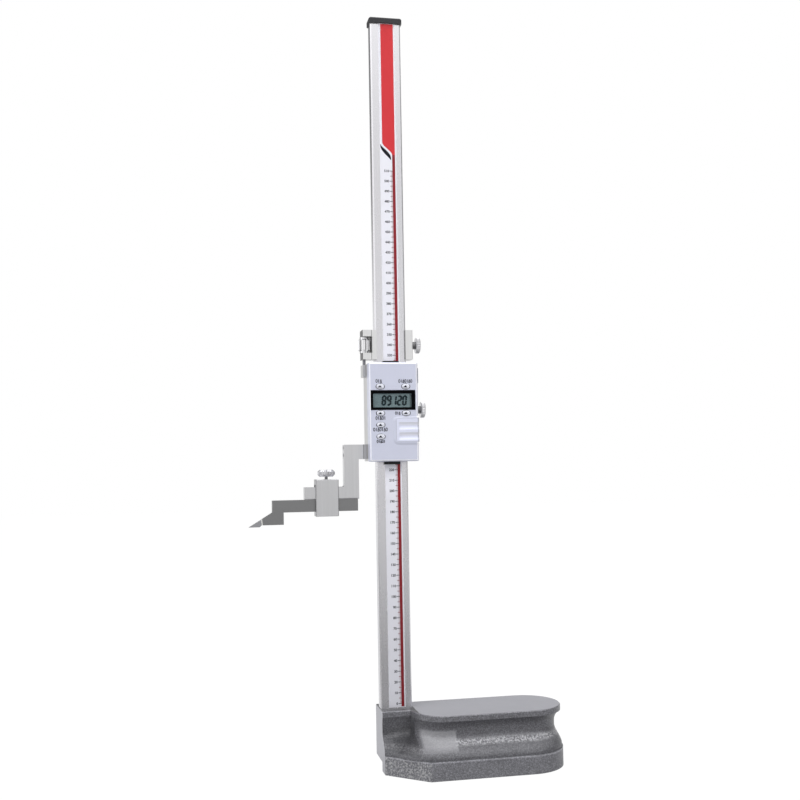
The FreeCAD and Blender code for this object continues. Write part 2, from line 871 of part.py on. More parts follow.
# Electronics housing and its inside

def key_places():
    return {
        "tolerance_button": (housing_left + left_keys, housing_bottom + top_key_rise),
        "power_button": (housing_left + right_keys, housing_bottom + top_key_rise),
        "hold_button": (housing_left + left_keys, housing_bottom + hold_key_rise),
        "direction_button": (housing_left + right_keys, housing_bottom + hold_key_rise),
        "zero_button": (housing_left + left_keys, housing_bottom + zero_key_rise),
        "unit_button": (housing_left + left_keys, housing_bottom + unit_key_rise),
    }


def housing_screw_places():
    middle = (label_left + label_right) / 2
    side = label_width / 2 + housing_screw_side
    ends = (slider_bottom + housing_screw_end, slider_top - housing_screw_end)
    return [(middle + way * side, z) for way in (-1, 1) for z in ends]


def housing_screw(x, z):
    depth = -(slider_face + housing_screw_reach)
    head = (housing_screw_head_radius, housing_screw_head_height)
    return cap_screw_y(x, z, -channel_half, depth, housing_screw_radius, *head)


def housing_screws():
    return Part.makeCompound([housing_screw(x, z) for x, z in housing_screw_places()])


def bezel_middle():
    return (housing_left + housing_width / 2 + bezel_shift, housing_bottom + bezel_rise)


def window_middle():
    x, z = bezel_middle()
    return (x + window_shift, z - window_drop)


def rectangle_y(middle, width, height, ys):
    x, z = middle
    return block((x - width / 2, x + width / 2), ys, (z - height / 2, z + height / 2))


def cover_right():
    return housing_right + cover_lip


def cover_left():
    return housing_right - cover_width


def battery_rim_outline(y, side, top_side):
    """The raised rim round the battery cover, this much wider than the cover: open at its right."""
    left = cover_left() - side
    bottom = housing_bottom + cover_rise - side
    top = housing_bottom + cover_rise + cover_height + top_side
    radius = cover_corner + side
    top_radius = cover_corner + top_side
    bend = radius * (1 - math.sqrt(0.5))
    top_bend = top_radius * (1 - math.sqrt(0.5))
    lower = Part.Arc(V(left + radius, y, bottom), V(left + bend, y, bottom + bend), V(left, y, bottom + radius))
    upper = Part.Arc(
        V(left, y, top - top_radius),
        V(left + top_bend, y, top - top_bend),
        V(left + top_radius, y, top),
    )
    return Part.Wire([
        Part.makeLine(V(housing_right, y, bottom), V(left + radius, y, bottom)),
        lower.toShape(),
        Part.makeLine(V(left, y, bottom + radius), V(left, y, top - top_radius)),
        upper.toShape(),
        Part.makeLine(V(left + top_radius, y, top), V(housing_right, y, top)),
        Part.makeLine(V(housing_right, y, top), V(housing_right, y, bottom)),
    ])


def battery_rim():
    foot = (battery_rim_foot, battery_rim_foot_top)
    crest = (battery_rim_crest, battery_rim_crest_top)
    seat = Part.Face(battery_rim_outline(housing_front + housing_bevel, *foot)).extrude(V(0, -housing_bevel, 0))
    slopes = [battery_rim_outline(housing_front, *foot), battery_rim_outline(cover_front, *crest)]
    return seat.fuse(Part.makeLoft(slopes, True, True))


def battery_rim_footprint():
    """Where the rim stands, cut from the overlay and kept out of its bed."""
    outline = battery_rim_outline(housing_front - 2, battery_rim_foot, battery_rim_foot_top)
    return Part.Face(outline).extrude(V(0, 4, 0))


def cover_plate(grow):
    """The battery cover's plate and tongues, grown by a clearance for its opening."""
    left = cover_left() - grow
    right = cover_right() + (1 if grow else 0)
    bottom = housing_bottom + cover_rise - grow
    top = housing_bottom + cover_rise + cover_height + grow
    plate = block((left, right), (cover_front - (1 if grow else 0), housing_inside), (bottom, top))
    corners = [e for e in plate.Edges if e.BoundBox.YLength > 1 and abs(e.BoundBox.XMin - left) < 1e-6]
    corners = [e for e in corners if e.BoundBox.XLength < 1e-6 and e.BoundBox.ZLength < 1e-6]
    plate = plate.makeFillet(cover_corner, corners)
    tongue = block(
        (left + cover_corner, right - (0 if grow else cover_lip + housing_wall)),
        (housing_inside - cover_tongue_thickness - grow, housing_inside),
        (bottom - cover_tongue, top + cover_tongue),
    )
    return plate.fuse(tongue)


def battery_cover():
    cover = cover_plate(0)
    cover = cover.common(block(
        (housing_left, cover_right()),
        (cover_front, housing_inside - screw_gap),
        (housing_bottom, housing_top),
    ))
    radius = (grip_half_height ** 2 + grip_depth ** 2) / (2 * grip_depth)
    xs = (cover_left() + grip_left_margin, cover_right() + 1)
    y = cover_front + grip_depth - radius
    zs = [housing_bottom + cover_rise + rise for rise in grip_rise]
    return cover.cut(Part.makeCompound([rod_x(y, z, xs, radius) for z in zs]))


def cell_middle():
    left = bay_left() + contact_thickness
    return (left + cell_radius, housing_bottom + cover_rise + cover_height / 2)


def bay_left():
    return cover_left() + bay_side


def bay_right():
    return bay_left() + contact_thickness + 2 * cell_radius + 0.2


def bay_zs():
    bottom = housing_bottom + cover_rise
    return (bottom + bay_rim, bottom + cover_height - bay_rim)


def bay_back():
    return housing_inside + cell_thickness + contact_thickness + 0.3


def port_zs():
    return (housing_bottom + port_rise, housing_bottom + port_rise + port_height)


def port_ys():
    return (housing_front + port_from_face, housing_front + port_from_face + port_depth)


def electronics_housing():
    shell = block((housing_left, housing_right), (housing_front, slider_front), (housing_bottom, housing_top))
    along_y = [e for e in shell.Edges if e.BoundBox.XLength < 1e-6 and e.BoundBox.ZLength < 1e-6]
    shell = shell.makeFillet(housing_corner, along_y)
    shell = shell.makeChamfer(housing_bevel, edges_on(shell, 1, housing_front)).fuse(battery_rim())
    hollow = block(
        (housing_left + housing_wall, housing_right - housing_wall),
        (housing_inside, slider_front + 1),
        (housing_bottom + housing_wall, housing_top - housing_wall),
    )
    shell = shell.cut(hollow)
    bay = block(
        (bay_left() - bay_wall, housing_right - housing_wall / 2),
        (housing_inside, bay_back() + bay_floor),
        (bay_zs()[0] - bay_wall - cover_tongue, bay_zs()[1] + bay_wall + cover_tongue),
    )
    bosses = [rod_y(x, z, (housing_inside - 0.2, slider_front), boss_radius) for x, z in housing_screw_places()]
    shell = shell.multiFuse([bay] + bosses).removeSplitter()
    cell_room = block((bay_left(), bay_right()), (housing_inside - 1, bay_back()), bay_zs())
    overlay_bed = face_sheet(housing_front - 1, housing_front + overlay_thickness).cut(battery_rim_footprint())
    cuts = [cell_room, cover_plate(cover_gap), overlay_bed]
    cuts.append(rectangle_y(bezel_middle(), bezel_width, bezel_height, (housing_front - 1, housing_front + bezel_seat)))
    opening_width = window_width + 2 * panel_border
    opening_height = window_height + 2 * panel_border
    cuts.append(rectangle_y(window_middle(), opening_width, opening_height, (housing_front, housing_inside + 1)))
    for x, z in key_places().values():
        cuts.append(stadium(x, z, key_width + 2 * key_gap, key_height + 2 * key_gap, (housing_front - 1, housing_inside + 0.1)))
    seat = (housing_right - port_seat, housing_right + 1)
    cuts.append(block(seat, port_ys(), port_zs()))
    cuts.append(port_opening((housing_right - housing_wall - 1, housing_right), 0.0))
    cuts.append(housing_screws())
    cuts.append(cell_contacts())
    return shell.cut(Part.makeCompound(cuts))


def face_sheet(y0, y1):
    xs = (housing_left + overlay_inset, housing_right - overlay_inset)
    zs = (housing_bottom + overlay_inset, housing_top - overlay_inset)
    return block(xs, (y0, y1), zs)


def face_overlay():
    sheet = face_sheet(housing_front, housing_front + overlay_thickness)
    ys = (housing_front - 1, housing_front + 1)
    cuts = [rectangle_y(bezel_middle(), bezel_width, bezel_height, ys), battery_rim_footprint()]
    for x, z in key_places().values():
        cuts.append(stadium(x, z, key_width + 2 * key_gap, key_height + 2 * key_gap, ys))
    return sheet.cut(Part.makeCompound(cuts))


def display_bezel():
    ys = (housing_front - bezel_proud, housing_front + bezel_seat)
    plate = rectangle_y(bezel_middle(), bezel_width, bezel_height, ys)
    plate = plate.makeChamfer(0.3, edges_on(plate, 1, ys[0]))
    return plate.cut(rectangle_y(window_middle(), window_width, window_height, (ys[0] - 1, ys[1] + 1)))


def display_window():
    front = housing_front - bezel_proud + glass_sink
    return rectangle_y(window_middle(), window_width, window_height, (front, front + glass_thickness))


def lcd_panel():
    back = housing_front + bezel_seat + panel_thickness
    width = window_width + 2 * panel_border - 0.2
    height = window_height + 2 * panel_border - 0.2
    return rectangle_y(window_middle(), width, height, (housing_front + bezel_seat, back))


def zebra_strips():
    x, z = window_middle()
    back = housing_front + bezel_seat + panel_thickness
    length = window_width - 2.0
    offset = window_height / 2
    strips = [rectangle_y((x, z + way * offset), length, strip_width, (back, board_front)) for way in (-1, 1)]
    return Part.makeCompound(strips)


def circuit_board():
    inner = housing_wall + board_gap
    board = block(
        (housing_left + inner, housing_right - inner),
        (board_front, slider_front),
        (housing_bottom + inner, housing_top - inner),
    )
    reach = boss_radius + 0.2
    notches = []
    for x, z in housing_screw_places():
        left, right = (housing_left, x + reach) if x < bezel_middle()[0] else (x - reach, housing_right)
        bottom, top = (housing_bottom, z + reach) if z < bezel_middle()[1] else (z - reach, housing_top)
        notches.append(block((left, right), (board_front - 1, slider_front + 1), (bottom, top)))
    return board.cut(Part.makeCompound(notches))


def reading_head():
    xs = (label_left - window_margin + head_side_gap, label_right + window_margin - head_side_gap)
    zs = (slider_bottom + window_end + head_side_gap, slider_top - window_end - head_side_gap)
    return block(xs, (slider_front, -beam_half - head_gap), zs)


def key_switches():
    switches = []
    half = switch_size / 2
    for x, z in key_places().values():
        body = block((x - half, x + half), (board_front - switch_height + 0.6, board_front), (z - half, z + half))
        plunger = block((x - 1.5, x + 1.5), (board_front - switch_height, board_front), (z - 1.5, z + 1.5))
        switches.append(body.fuse(plunger).removeSplitter())
    return Part.makeCompound(switches)


def button(x, z):
    face = housing_front - key_proud
    cap = stadium(x, z, key_width, key_height, (face, housing_inside))
    cap = cap.makeChamfer(key_dome, edges_on(cap, 1, face))
    flange_ys = (housing_inside, housing_inside + key_flange_thickness)
    flange = rectangle_y((x, z), key_width + 2 * key_flange, key_height + 2 * key_flange, flange_ys)
    stem_end = board_front - switch_height - key_travel - 0.1
    stem = rectangle_y((x, z), key_stem, key_stem, (housing_inside, stem_end))
    return cap.fuse(flange).fuse(stem).removeSplitter()


def button_cell():
    x, z = cell_middle()
    back = bay_back() - contact_thickness
    return rod_y(x, z, (back - cell_thickness, back), cell_radius)


def cell_contacts():
    x, z = cell_middle()
    back = bay_back()
    plate = block((x - 4, x + 4), (back - contact_thickness, back), (z - 6, z + 6))
    plate_leg = block((x - 1, x + 1), (back - contact_thickness, board_front), (z - 0.4, z + 0.4))
    clip = block((bay_left(), bay_left() + contact_thickness), (back - cell_thickness, back), (z - 3, z + 3))
    clip_leg = block((bay_left(), bay_left() + contact_thickness), (back - 1, board_front), (z - 1, z + 1))
    return Part.makeCompound([plate.fuse(plate_leg), clip.fuse(clip_leg)])


def port_opening(xs, shrink):
    ys, zs = port_ys(), port_zs()
    inset = port_opening_inset + shrink
    return block(xs, (ys[0] + inset, ys[1] - inset), (zs[0] + inset, zs[1] - inset))


def port_cover():
    ys, zs = port_ys(), port_zs()
    seat = housing_right - port_seat
    lid = block(
        (seat, housing_right + port_proud),
        (ys[0] + cover_gap, ys[1] - cover_gap),
        (zs[0] + cover_gap, zs[1] - cover_gap),
    )
    lid = lid.makeChamfer(0.4, edges_on(lid, 0, housing_right + port_proud))
    return lid.fuse(port_opening((seat - 0.6, seat), cover_gap)).removeSplitter()


def port_connector():
    ys, zs = port_ys(), port_zs()
    inset = port_opening_inset + 0.4
    xs = (housing_right - housing_wall - board_gap - connector_depth, housing_right - housing_wall - board_gap)
    body = block(xs, (ys[0] + inset, board_front), (zs[0] + inset, zs[1] - inset))
    pins = []
    for step in range(4):
        z = zs[0] + inset + (step + 0.5) * (port_height - 2 * inset) / 4
        pins.append(block((xs[1] - 1, xs[1] + 0.3), (ys[0] + inset + 1, ys[0] + inset + 1.5), (z - 0.4, z + 0.4)))
    return body.multiFuse(pins)


# Writing the pieces

PIECES = {
    "base_casting": base_casting,
    "beam_screws": beam_screws,
    "beam": beam,
    "grating_strip": grating_strip,
    "scale_label": scale_label,
    "beam_cap": beam_cap,
    "slider_frame": slider_frame,
    "slider_back_plate": slider_back_plate,
    "back_plate_screws": back_plate_screws,
    "slider_gib": slider_gib,
    "gib_screws": gib_screws,
    "slider_wipers": slider_wipers,
    "slider_lock_screw": slider_lock_screw,
    "carriage_frame": carriage_frame,
    "carriage_pad": carriage_pad,
    "carriage_lock_screw": carriage_lock_screw,
    "fine_adjust_wheel": fine_adjust_wheel,
    "fine_adjust_screw": fine_adjust_screw,
    "measuring_arm": measuring_arm,
    "arm_screws": arm_screws,
    "scriber_clamp": scriber_clamp,
    "clamp_screw": clamp_screw,
    "scriber_body": scriber_body,
    "braze_seam": braze_seam,
    "carbide_tip": carbide_tip,
    "electronics_housing": electronics_housing,
    "face_overlay": face_overlay,
    "housing_screws": housing_screws,
    "display_bezel": display_bezel,
    "display_window": display_window,
    "lcd_panel": lcd_panel,
    "zebra_strips": zebra_strips,
    "circuit_board": circuit_board,
    "reading_head": reading_head,
    "key_switches": key_switches,
    "button_cell": button_cell,
    "cell_contacts": cell_contacts,
    "battery_cover": battery_cover,
    "port_cover": port_cover,
    "port_connector": port_connector,
}


def write(name, shape):
    placed = shape.copy()
    placed.translate(V(-origin_x, -origin_y, 0))
    placed.exportStep(os.path.join("parts", name + ".step"))


def main():
    os.makedirs("parts", exist_ok=True)
    for name, make in PIECES.items():
        write(name, make())
    for name, (x, z) in key_places().items():
        write(name, button(x, z))


main()
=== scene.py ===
import math

import bmesh
import bpy
from mathutils import Matrix, Vector


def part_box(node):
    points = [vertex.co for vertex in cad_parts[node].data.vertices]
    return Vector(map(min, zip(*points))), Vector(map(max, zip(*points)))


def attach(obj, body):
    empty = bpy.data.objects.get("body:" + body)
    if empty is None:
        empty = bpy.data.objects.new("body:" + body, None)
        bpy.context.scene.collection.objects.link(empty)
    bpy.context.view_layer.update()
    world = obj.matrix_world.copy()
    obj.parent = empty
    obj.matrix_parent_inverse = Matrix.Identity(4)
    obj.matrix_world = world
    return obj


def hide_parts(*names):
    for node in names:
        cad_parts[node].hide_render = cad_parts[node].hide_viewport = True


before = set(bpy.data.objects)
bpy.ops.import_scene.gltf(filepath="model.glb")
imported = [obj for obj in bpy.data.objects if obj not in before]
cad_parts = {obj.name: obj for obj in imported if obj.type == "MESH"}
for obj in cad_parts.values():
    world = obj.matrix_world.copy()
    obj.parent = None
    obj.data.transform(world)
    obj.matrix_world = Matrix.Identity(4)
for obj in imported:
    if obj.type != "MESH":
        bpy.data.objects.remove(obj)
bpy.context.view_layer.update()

bl_info = {
    "name": "Digital height gauge",
    "version": (1, 0, 0),
    "blender": (4, 5, 0),
    "location": "3D View > Sidebar > Height gauge",
    "description": "Finishes, prints and lights a digital height gauge",
    "category": "Object",
}

MM = 0.001
FAR = 1.0  # metres, well past the gauge on either side
SHARP_ANGLE = math.radians(40)
PRINT_LIFT = 0.02  # millimetres from a face to the print on it


# Colours and small helpers

def linear(level):
    level = level / 255
    if level <= 0.04045:
        return level / 12.92
    return ((level + 0.055) / 1.055) ** 2.4


def tint(red, green, blue):
    """A colour written as it shows on a screen, 0 to 255, for a shader."""
    return (linear(red), linear(green), linear(blue), 1.0)


def shade(colour, amount):
    return tuple(part * amount for part in colour[:3]) + (1.0,)


def grey(level):
    return (level, level, level, 1.0)


WHITE = grey(1.0)
BRASS = tint(206, 180, 118)
# The near-black of painted shade and painted reflections on steel
PAINTED_SHADE_COLOUR = tint(30, 30, 33)


def middle_of(node):
    low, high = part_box(node)
    return (low + high) / 2


def placed(name, data):
    """A new object in the scene, in place of an old one of the same name."""
    old = bpy.data.objects.get(name)
    if old:
        bpy.data.objects.remove(old, do_unlink=True)
    thing = bpy.data.objects.new(name, data)
    bpy.context.scene.collection.objects.link(thing)
    return thing


def new_piece(name, mesh, finish, body):
    """Places a mesh as a piece of the gauge that moves with a body."""
    piece = placed(name, mesh)
    mesh.materials.append(finish)
    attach(piece, body)
    return piece


def dress(node, finish, bevel=0.0):
    """Gives a CAD node its finish and, where asked, a round in millimetres on its sharp edges."""
    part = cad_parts[node]
    for holder in part.material_slots:
        holder.link = "OBJECT"
        holder.material = finish
    if bevel:
        edge = part.modifiers.new("edge round", "BEVEL")
        edge.width = bevel * MM
        edge.segments = 2
        edge.limit_method = "ANGLE"
        edge.angle_limit = SHARP_ANGLE


# Shader building

def sum_of(operation, reflected=False):
    """A sum of a level with another level or a number, which comes first where it is reflected."""
    if reflected:
        return lambda self, other: self.worked(operation, other, self)
    return lambda self, other: self.worked(operation, self, other)


class Level:
    """An output socket of a finish that can be used in ordinary sums."""

    def __init__(self, finish, socket):
        self.finish = finish
        self.socket = socket

    def worked(self, operation, *terms):
        return self.finish.add("ShaderNodeMath", {"operation": operation}, dict(enumerate(terms)))

    __add__ = sum_of("ADD")
    __radd__ = sum_of("ADD", reflected=True)
    __sub__ = sum_of("SUBTRACT")
    __rsub__ = sum_of("SUBTRACT", reflected=True)
    __mul__ = sum_of("MULTIPLY")
    __rmul__ = sum_of("MULTIPLY", reflected=True)
    __gt__ = sum_of("GREATER_THAN")
    __lt__ = sum_of("LESS_THAN")
    least = sum_of("MINIMUM")
    most = sum_of("MAXIMUM")

    def root(self):
        return self.worked("SQRT", self)

    def sine(self):
        return self.worked("SINE", self)


def socket_of(sockets, key):
    if isinstance(key, int):
        return sockets[key]
    for socket in sockets:
        if socket.identifier == key:
            return socket
    return sockets[key]


class Finish:
    """A material, or another node tree, being built node by node."""

    ramp_top = 8.0  # a ramp holds 0 to 1, so levels up to this one are scaled down for it and back

    def __init__(self, name, tree=None):
        if tree:
            self.tree = tree
        else:
            self.material = bpy.data.materials.new(name)
            self.material.use_nodes = True
            self.tree = self.material.node_tree
        self.tree.nodes.clear()

    def add(self, kind, settings=None, sockets=None, out=0):
        """Adds a node: its settings first, then the values or links of its sockets."""
        node = self.tree.nodes.new(kind)
        for key, value in (settings or {}).items():
            if key == "stops":
                self.set_stops(node.color_ramp, value)
            else:
                setattr(node, key, value)
        for key, value in (sockets or {}).items():
            target = socket_of(node.inputs, key)
            if isinstance(value, Level):
                self.tree.links.new(value.socket, target)
            else:
                target.default_value = value
        if out is not None:
            return Level(self, socket_of(node.outputs, out))

    def set_stops(self, ramp, stops):
        while len(ramp.elements) < len(stops):
            ramp.elements.new(1.0)
        for element, (place, colour) in zip(ramp.elements, stops):
            element.position = place
            element.color = colour

    def place(self):
        return self.add("ShaderNodeTexCoord", out="Object")

    def along(self, axis):
        return self.add("ShaderNodeSeparateXYZ", None, {0: self.place()}, out=axis)

    def noise(self, scale, detail, rough, stretch=(1, 1, 1)):
        place = self.add("ShaderNodeVectorMath", {"operation": "MULTIPLY"}, {0: self.place(), 1: stretch})
        sockets = {"Vector": place, "Scale": scale, "Detail": detail, "Roughness": rough}
        return self.add("ShaderNodeTexNoise", None, sockets)

    def cells(self, scale, feature="F1", out="Distance"):
        sockets = {"Vector": self.place(), "Scale": scale}
        return self.add("ShaderNodeTexVoronoi", {"feature": feature}, sockets, out)

    def ray(self, kind):
        """1 for rays of a kind, such as Camera or Glossy, and 0 for the others."""
        return self.add("ShaderNodeLightPath", out="Is " + kind + " Ray")

    def mixed(self, mask, colour_a, colour_b):
        sockets = {"Factor_Float": mask, "A_Color": colour_a, "B_Color": colour_b}
        return self.add("ShaderNodeMix", {"data_type": "RGBA"}, sockets, out="Result_Color")

    def over(self, base, colour, mask, strength):
        """The base with a colour laid over it where the mask is up."""
        return self.mixed(mask * strength, base, colour)

    def between(self, value, low, high):
        """0 below low, 1 above high, and a straight rise between them."""
        sockets = {"Value": value, "From Min": low, "From Max": high}
        return self.add("ShaderNodeMapRange", {"clamp": True}, sockets)

    def band(self, value, rise, fall):
        """1 inside a band and 0 outside it, with a straight rise and fall over two stretches."""
        return self.between(value, rise[0], rise[1]) * self.between(value, fall[1], fall[0])

    def through(self, value, stops):
        """A level that runs straight from stop to stop; each stop is a value and its level."""
        first, last = stops[0][0], stops[-1][0]
        greys = [((place - first) / (last - first), grey(level / self.ramp_top)) for place, level in stops]
        ramp = self.add("ShaderNodeValToRGB", {"stops": greys}, {0: self.between(value, first, last)})
        return ramp * self.ramp_top

    def toned(self, colour, level):
        """The colour made lighter or darker by a level."""
        return self.add("ShaderNodeVectorMath", {"operation": "SCALE"}, {0: colour, "Scale": level})

    def bumps(self, height, strength, distance):
        sockets = {"Height": height, "Strength": strength, "Distance": distance}
        return self.add("ShaderNodeBump", None, sockets)

    def surface(self, **sockets):
        """Ends the finish with a Principled surface; underscores stand for spaces."""
        named = {key.replace("_", " "): value for key, value in sockets.items()}
        return self.ended(self.add("ShaderNodeBsdfPrincipled", None, named))

    def ended(self, shader):
        self.add("ShaderNodeOutputMaterial", None, {"Surface": shader}, out=None)
        return self.material


# Smoothing

def smooth_over(node, angle):
    """Welds the strips of a swept face, and keeps sharp only the edges that turn by more than the angle."""
    tree = bpy.data.node_groups.new(node + " smoothing", "GeometryNodeTree")
    for way in ("INPUT", "OUTPUT"):
        tree.interface.new_socket("Geometry", in_out=way, socket_type="NodeSocketGeometry")
    steps = Finish(node, tree)
    mesh = steps.add("NodeGroupInput")
    mesh = steps.add("GeometryNodeMergeByDistance", None, {"Geometry": mesh, "Distance": 0.01 * MM})
    mesh = steps.add("GeometryNodeRemoveAttribute", None, {"Geometry": mesh, "Name": "custom_normal"})
    sharp = steps.add("GeometryNodeInputMeshEdgeAngle") > angle
    flags = {"Geometry": mesh, "Name": "sharp_edge", "Value": sharp}
    mesh = steps.add("GeometryNodeStoreNamedAttribute", {"data_type": "BOOLEAN", "domain": "EDGE"}, flags)
    mesh = steps.add("GeometryNodeSetShadeSmooth", None, {"Geometry": mesh, "Shade Smooth": True})
    steps.add("NodeGroupOutput", None, {0: mesh}, out=None)
    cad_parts[node].modifiers.new("smoothing", "NODES").node_group = tree


# Finishes

# Painted light and shade on the enamel at each height of the base's front, in millimetres: a painted
# highlight on the plinth's edge, painted shade at the foot of the hollow over it, a lighter middle in that
# hollow, and painted shade under the table
ENAMEL_PAINTED_LIGHT = (
    (0.0, 1.12), (15.4, 1.16), (15.9, 2.0), (16.9, 2.0), (17.3, 0.8), (18.2, 0.72), (24.0, 0.66),
    (28.5, 0.68), (31.0, 0.74), (34.5, 0.78), (41.0, 0.92), (45.0, 0.72), (48.5, 0.74), (50.5, 1.02),
    (56.0, 1.06))

# Painted light and shade on the printed label and its inks at each height of the gauge, in metres: darker
# towards the bottom, lighter just under the housing
LABEL_PAINTED_LIGHT = (
    (0.05, 0.72), (0.1, 0.74), (0.2, 0.85), (0.25, 0.95), (0.275, 1.16), (0.3, 0.97), (0.42, 0.97),
    (0.72, 0.93))

# Where the battery cover's two finger grooves start, in millimetres above its lower edge
GROOVE_FEET = (6.1, 15.7)


def lit_enamel(finish, enamel, lumps, fine):
    """The enamel with painted light and shade over the base's front; heights are in millimetres."""
    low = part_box("base_casting")[0]
    x = finish.along("X")
    height = finish.along("Z") * (1 / MM)
    front = finish.along("Y") < low.y + 45.0 * MM

    def from_nose(*reaches):
        return [low.x + reach * MM for reach in reaches]

    shade_end, near_end, facet_end, far_start = from_nose(29.0, 33.0, 36.5, 62.0)
    enamel = finish.toned(enamel, 1.0 + front * (finish.through(height, ENAMEL_PAINTED_LIGHT) - 1.0))
    # Painted shade on the front beside the nose
    painted_shade_beside_nose = (x < shade_end) * finish.band(height, rise=(19.0, 24.0), fall=(38.0, 46.0))
    enamel = finish.toned(enamel, 1.0 - painted_shade_beside_nose * 0.42)

    # A painted highlight streak along the hollow of the front, broken by the hammertone's lumps, fainter near
    # the nose
    streak = finish.band(height, rise=(27.0, 29.0), fall=(31.5, 34.0)) * (x > far_start)
    near_highlight_streak = finish.band(height, rise=(22.5, 24.0), fall=(26.5, 28.5)) * (x < near_end)
    streak = streak.most(near_highlight_streak * 0.35) * front
    highlight_speckle = finish.between(lumps + fine * 0.4, 0.62, 0.8)
    enamel = finish.over(enamel, tint(202, 202, 206), streak * highlight_speckle, strength=0.62)

    # Painted glints on the lit facet of the plinth by the nose
    lit_facet = (x < facet_end) * (height < 16.5) * front
    facet_glints = finish.between(finish.noise(620, 2.0, 0.5), 0.5, 0.6)
    enamel = finish.over(enamel, tint(206, 206, 206), lit_facet * facet_glints, strength=0.5)

    # A painted sheen on the flare beside the nose, where it catches the light
    sheen = finish.band(x, rise=from_nose(31.0, 34.0), fall=from_nose(62.5, 64.0))
    sheen = sheen * finish.band(height, rise=(23.0, 28.0), fall=(39.5, 41.5)) * front
    return finish.mixed(sheen * (0.3 + 0.5 * lumps), enamel, tint(178, 178, 182))


def hammertone_iron(settings):
    """Grey hammertone enamel, with the nose, the back and the underside ground to bare iron."""
    finish = Finish("hammertone enamel")
    low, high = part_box("base_casting")
    skin = 0.05 * MM
    lumps = finish.noise(560, 3.0, 0.6)
    dimples = finish.cells(820)
    fine = finish.noise(2100, 2.0, 0.6)
    wear = finish.noise(48, 3.0, 0.6)
    strokes = finish.noise(900, 3.0, 0.7, (1.0, 1.0, 0.06))
    x = finish.along("X")
    z = finish.along("Z")
    upper_face = z > high.z - skin
    beam_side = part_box("beam")[1].x + 1.5 * MM
    table = upper_face * (x > beam_side)
    shaded_shelf = upper_face * (x < beam_side)
    ground = (x < low.x + skin).most(z < skin).most(finish.along("Y") > high.y - skin)

    pits = finish.between(dimples * 0.8 + lumps, 0.55, 1.05)
    enamel = finish.mixed(pits, shade(settings.enamel, 1.3), shade(settings.enamel, 0.7))
    enamel = finish.over(enamel, shade(settings.enamel, 1.6), finish.between(wear, 0.5, 0.75), strength=0.15)
    # The top of the base in front of the beam is darkened: painted shade under the beam
    enamel = finish.toned(lit_enamel(finish, enamel, lumps, fine), 1.0 - shaded_shelf * 0.6)
    smooth = finish.mixed(fine * 0.5 + wear * 0.5, tint(132, 132, 138), tint(148, 148, 154))
    iron = finish.mixed(strokes, tint(178, 178, 184), tint(206, 206, 212))

    relief = lumps * 1.2 + dimples * 0.6 + fine * 0.2
    hammered = finish.bumps(relief * (1.0 - table * 0.85), strength=0.75, distance=0.34 * MM)
    brushed = finish.bumps(strokes, strength=0.25, distance=0.03 * MM)
    normal = finish.add(
        "ShaderNodeMix", {"data_type": "VECTOR"},
        {"Factor_Float": ground, "A_Vector": hammered, "B_Vector": brushed}, out="Result_Vector")
    return finish.surface(
        Base_Color=finish.mixed(ground, finish.mixed(table, enamel, smooth), iron),
        Metallic=0.4 + ground * 0.45 - table * 0.35,
        Roughness=0.3 + ground * 0.12 + table * 0.14 + (fine - 0.5) * 0.08,
        Specular_IOR_Level=0.7,
        Normal=normal,
    )


# Grains: small along the axis that the grinding lines follow
UPRIGHT_GRAIN = (1.0, 1.0, 0.02)
EVEN_GRAIN = (1.0, 1.0, 1.0)


def satin_steel(name, colour, grain=UPRIGHT_GRAIN, roughness=0.3, streak=0.05, spread=0.1, cut=0.22, dark=()):
    """Metal with fine grinding lines.

    Each entry of dark gives two X values and a strength: between them the face is painted dark, as painted
    shade or as a painted reflection.
    """
    finish = Finish(name)
    lines = finish.noise(2600, 3.0, 0.65, grain)
    broad = finish.noise(420, 2.0, 0.5, grain)
    stains = finish.noise(45, 3.0, 0.6)
    mask = lines * 0.5 + broad * 0.5
    base = finish.mixed(mask, shade(colour, 1 - streak), shade(colour, 1 + streak))
    base = finish.over(base, shade(colour, 0.8), finish.between(stains, 0.56, 0.8), strength=0.1)
    # Bands of painted shade, and painted reflections, across X
    for start, end, strength in dark:
        x = finish.along("X")
        base = finish.over(base, PAINTED_SHADE_COLOUR, (x > start) * (x < end), strength)
    return finish.surface(
        Base_Color=base,
        Metallic=1.0,
        Roughness=roughness + (mask - 0.5) * spread + (stains - 0.5) * 0.06,
        Normal=finish.bumps(lines, cut, 0.02 * MM),
    )


def turned_steel(name, colour, node, axis, rim, roughness, neck):
    """Plated knob metal: turning rings round its axis, painted shade on its neck and in the roots of the
    knurl.
    """
    finish = Finish(name)
    ring_pitch = 0.22 * MM
    first, second = [finish.along(key) - place for key, place in zip("XYZ", middle_of(node)) if key != axis]
    reach = (first * first + second * second).root()
    rings = (reach * (math.tau / ring_pitch)).sine()
    roots = finish.between(reach, rim - 0.5 * MM, rim - 0.12 * MM)
    inside = reach < rim - 0.55 * MM
    knurl_root_shade = (1.0 - roots) * (1.0 - inside)
    speck = finish.noise(1500, 2.0, 0.6)
    base = finish.mixed(speck, shade(colour, 0.94), shade(colour, 1.04))
    # Painted shade in the knurl's roots, then on the neck
    base = finish.over(base, shade(colour, 0.35), knurl_root_shade, strength=0.5)
    base = finish.over(base, shade(colour, 0.12), reach < neck, strength=0.85)
    return finish.surface(
        Base_Color=base,
        Metallic=1.0,
        Roughness=roughness + speck * 0.08 + knurl_root_shade * 0.15,
        Normal=finish.bumps(rings * inside, 0.12, 0.01 * MM),
    )


def lock_knob(name, colour, node):
    return turned_steel(name, colour, node, "X", rim=7.7 * MM, roughness=0.34, neck=3.8 * MM)


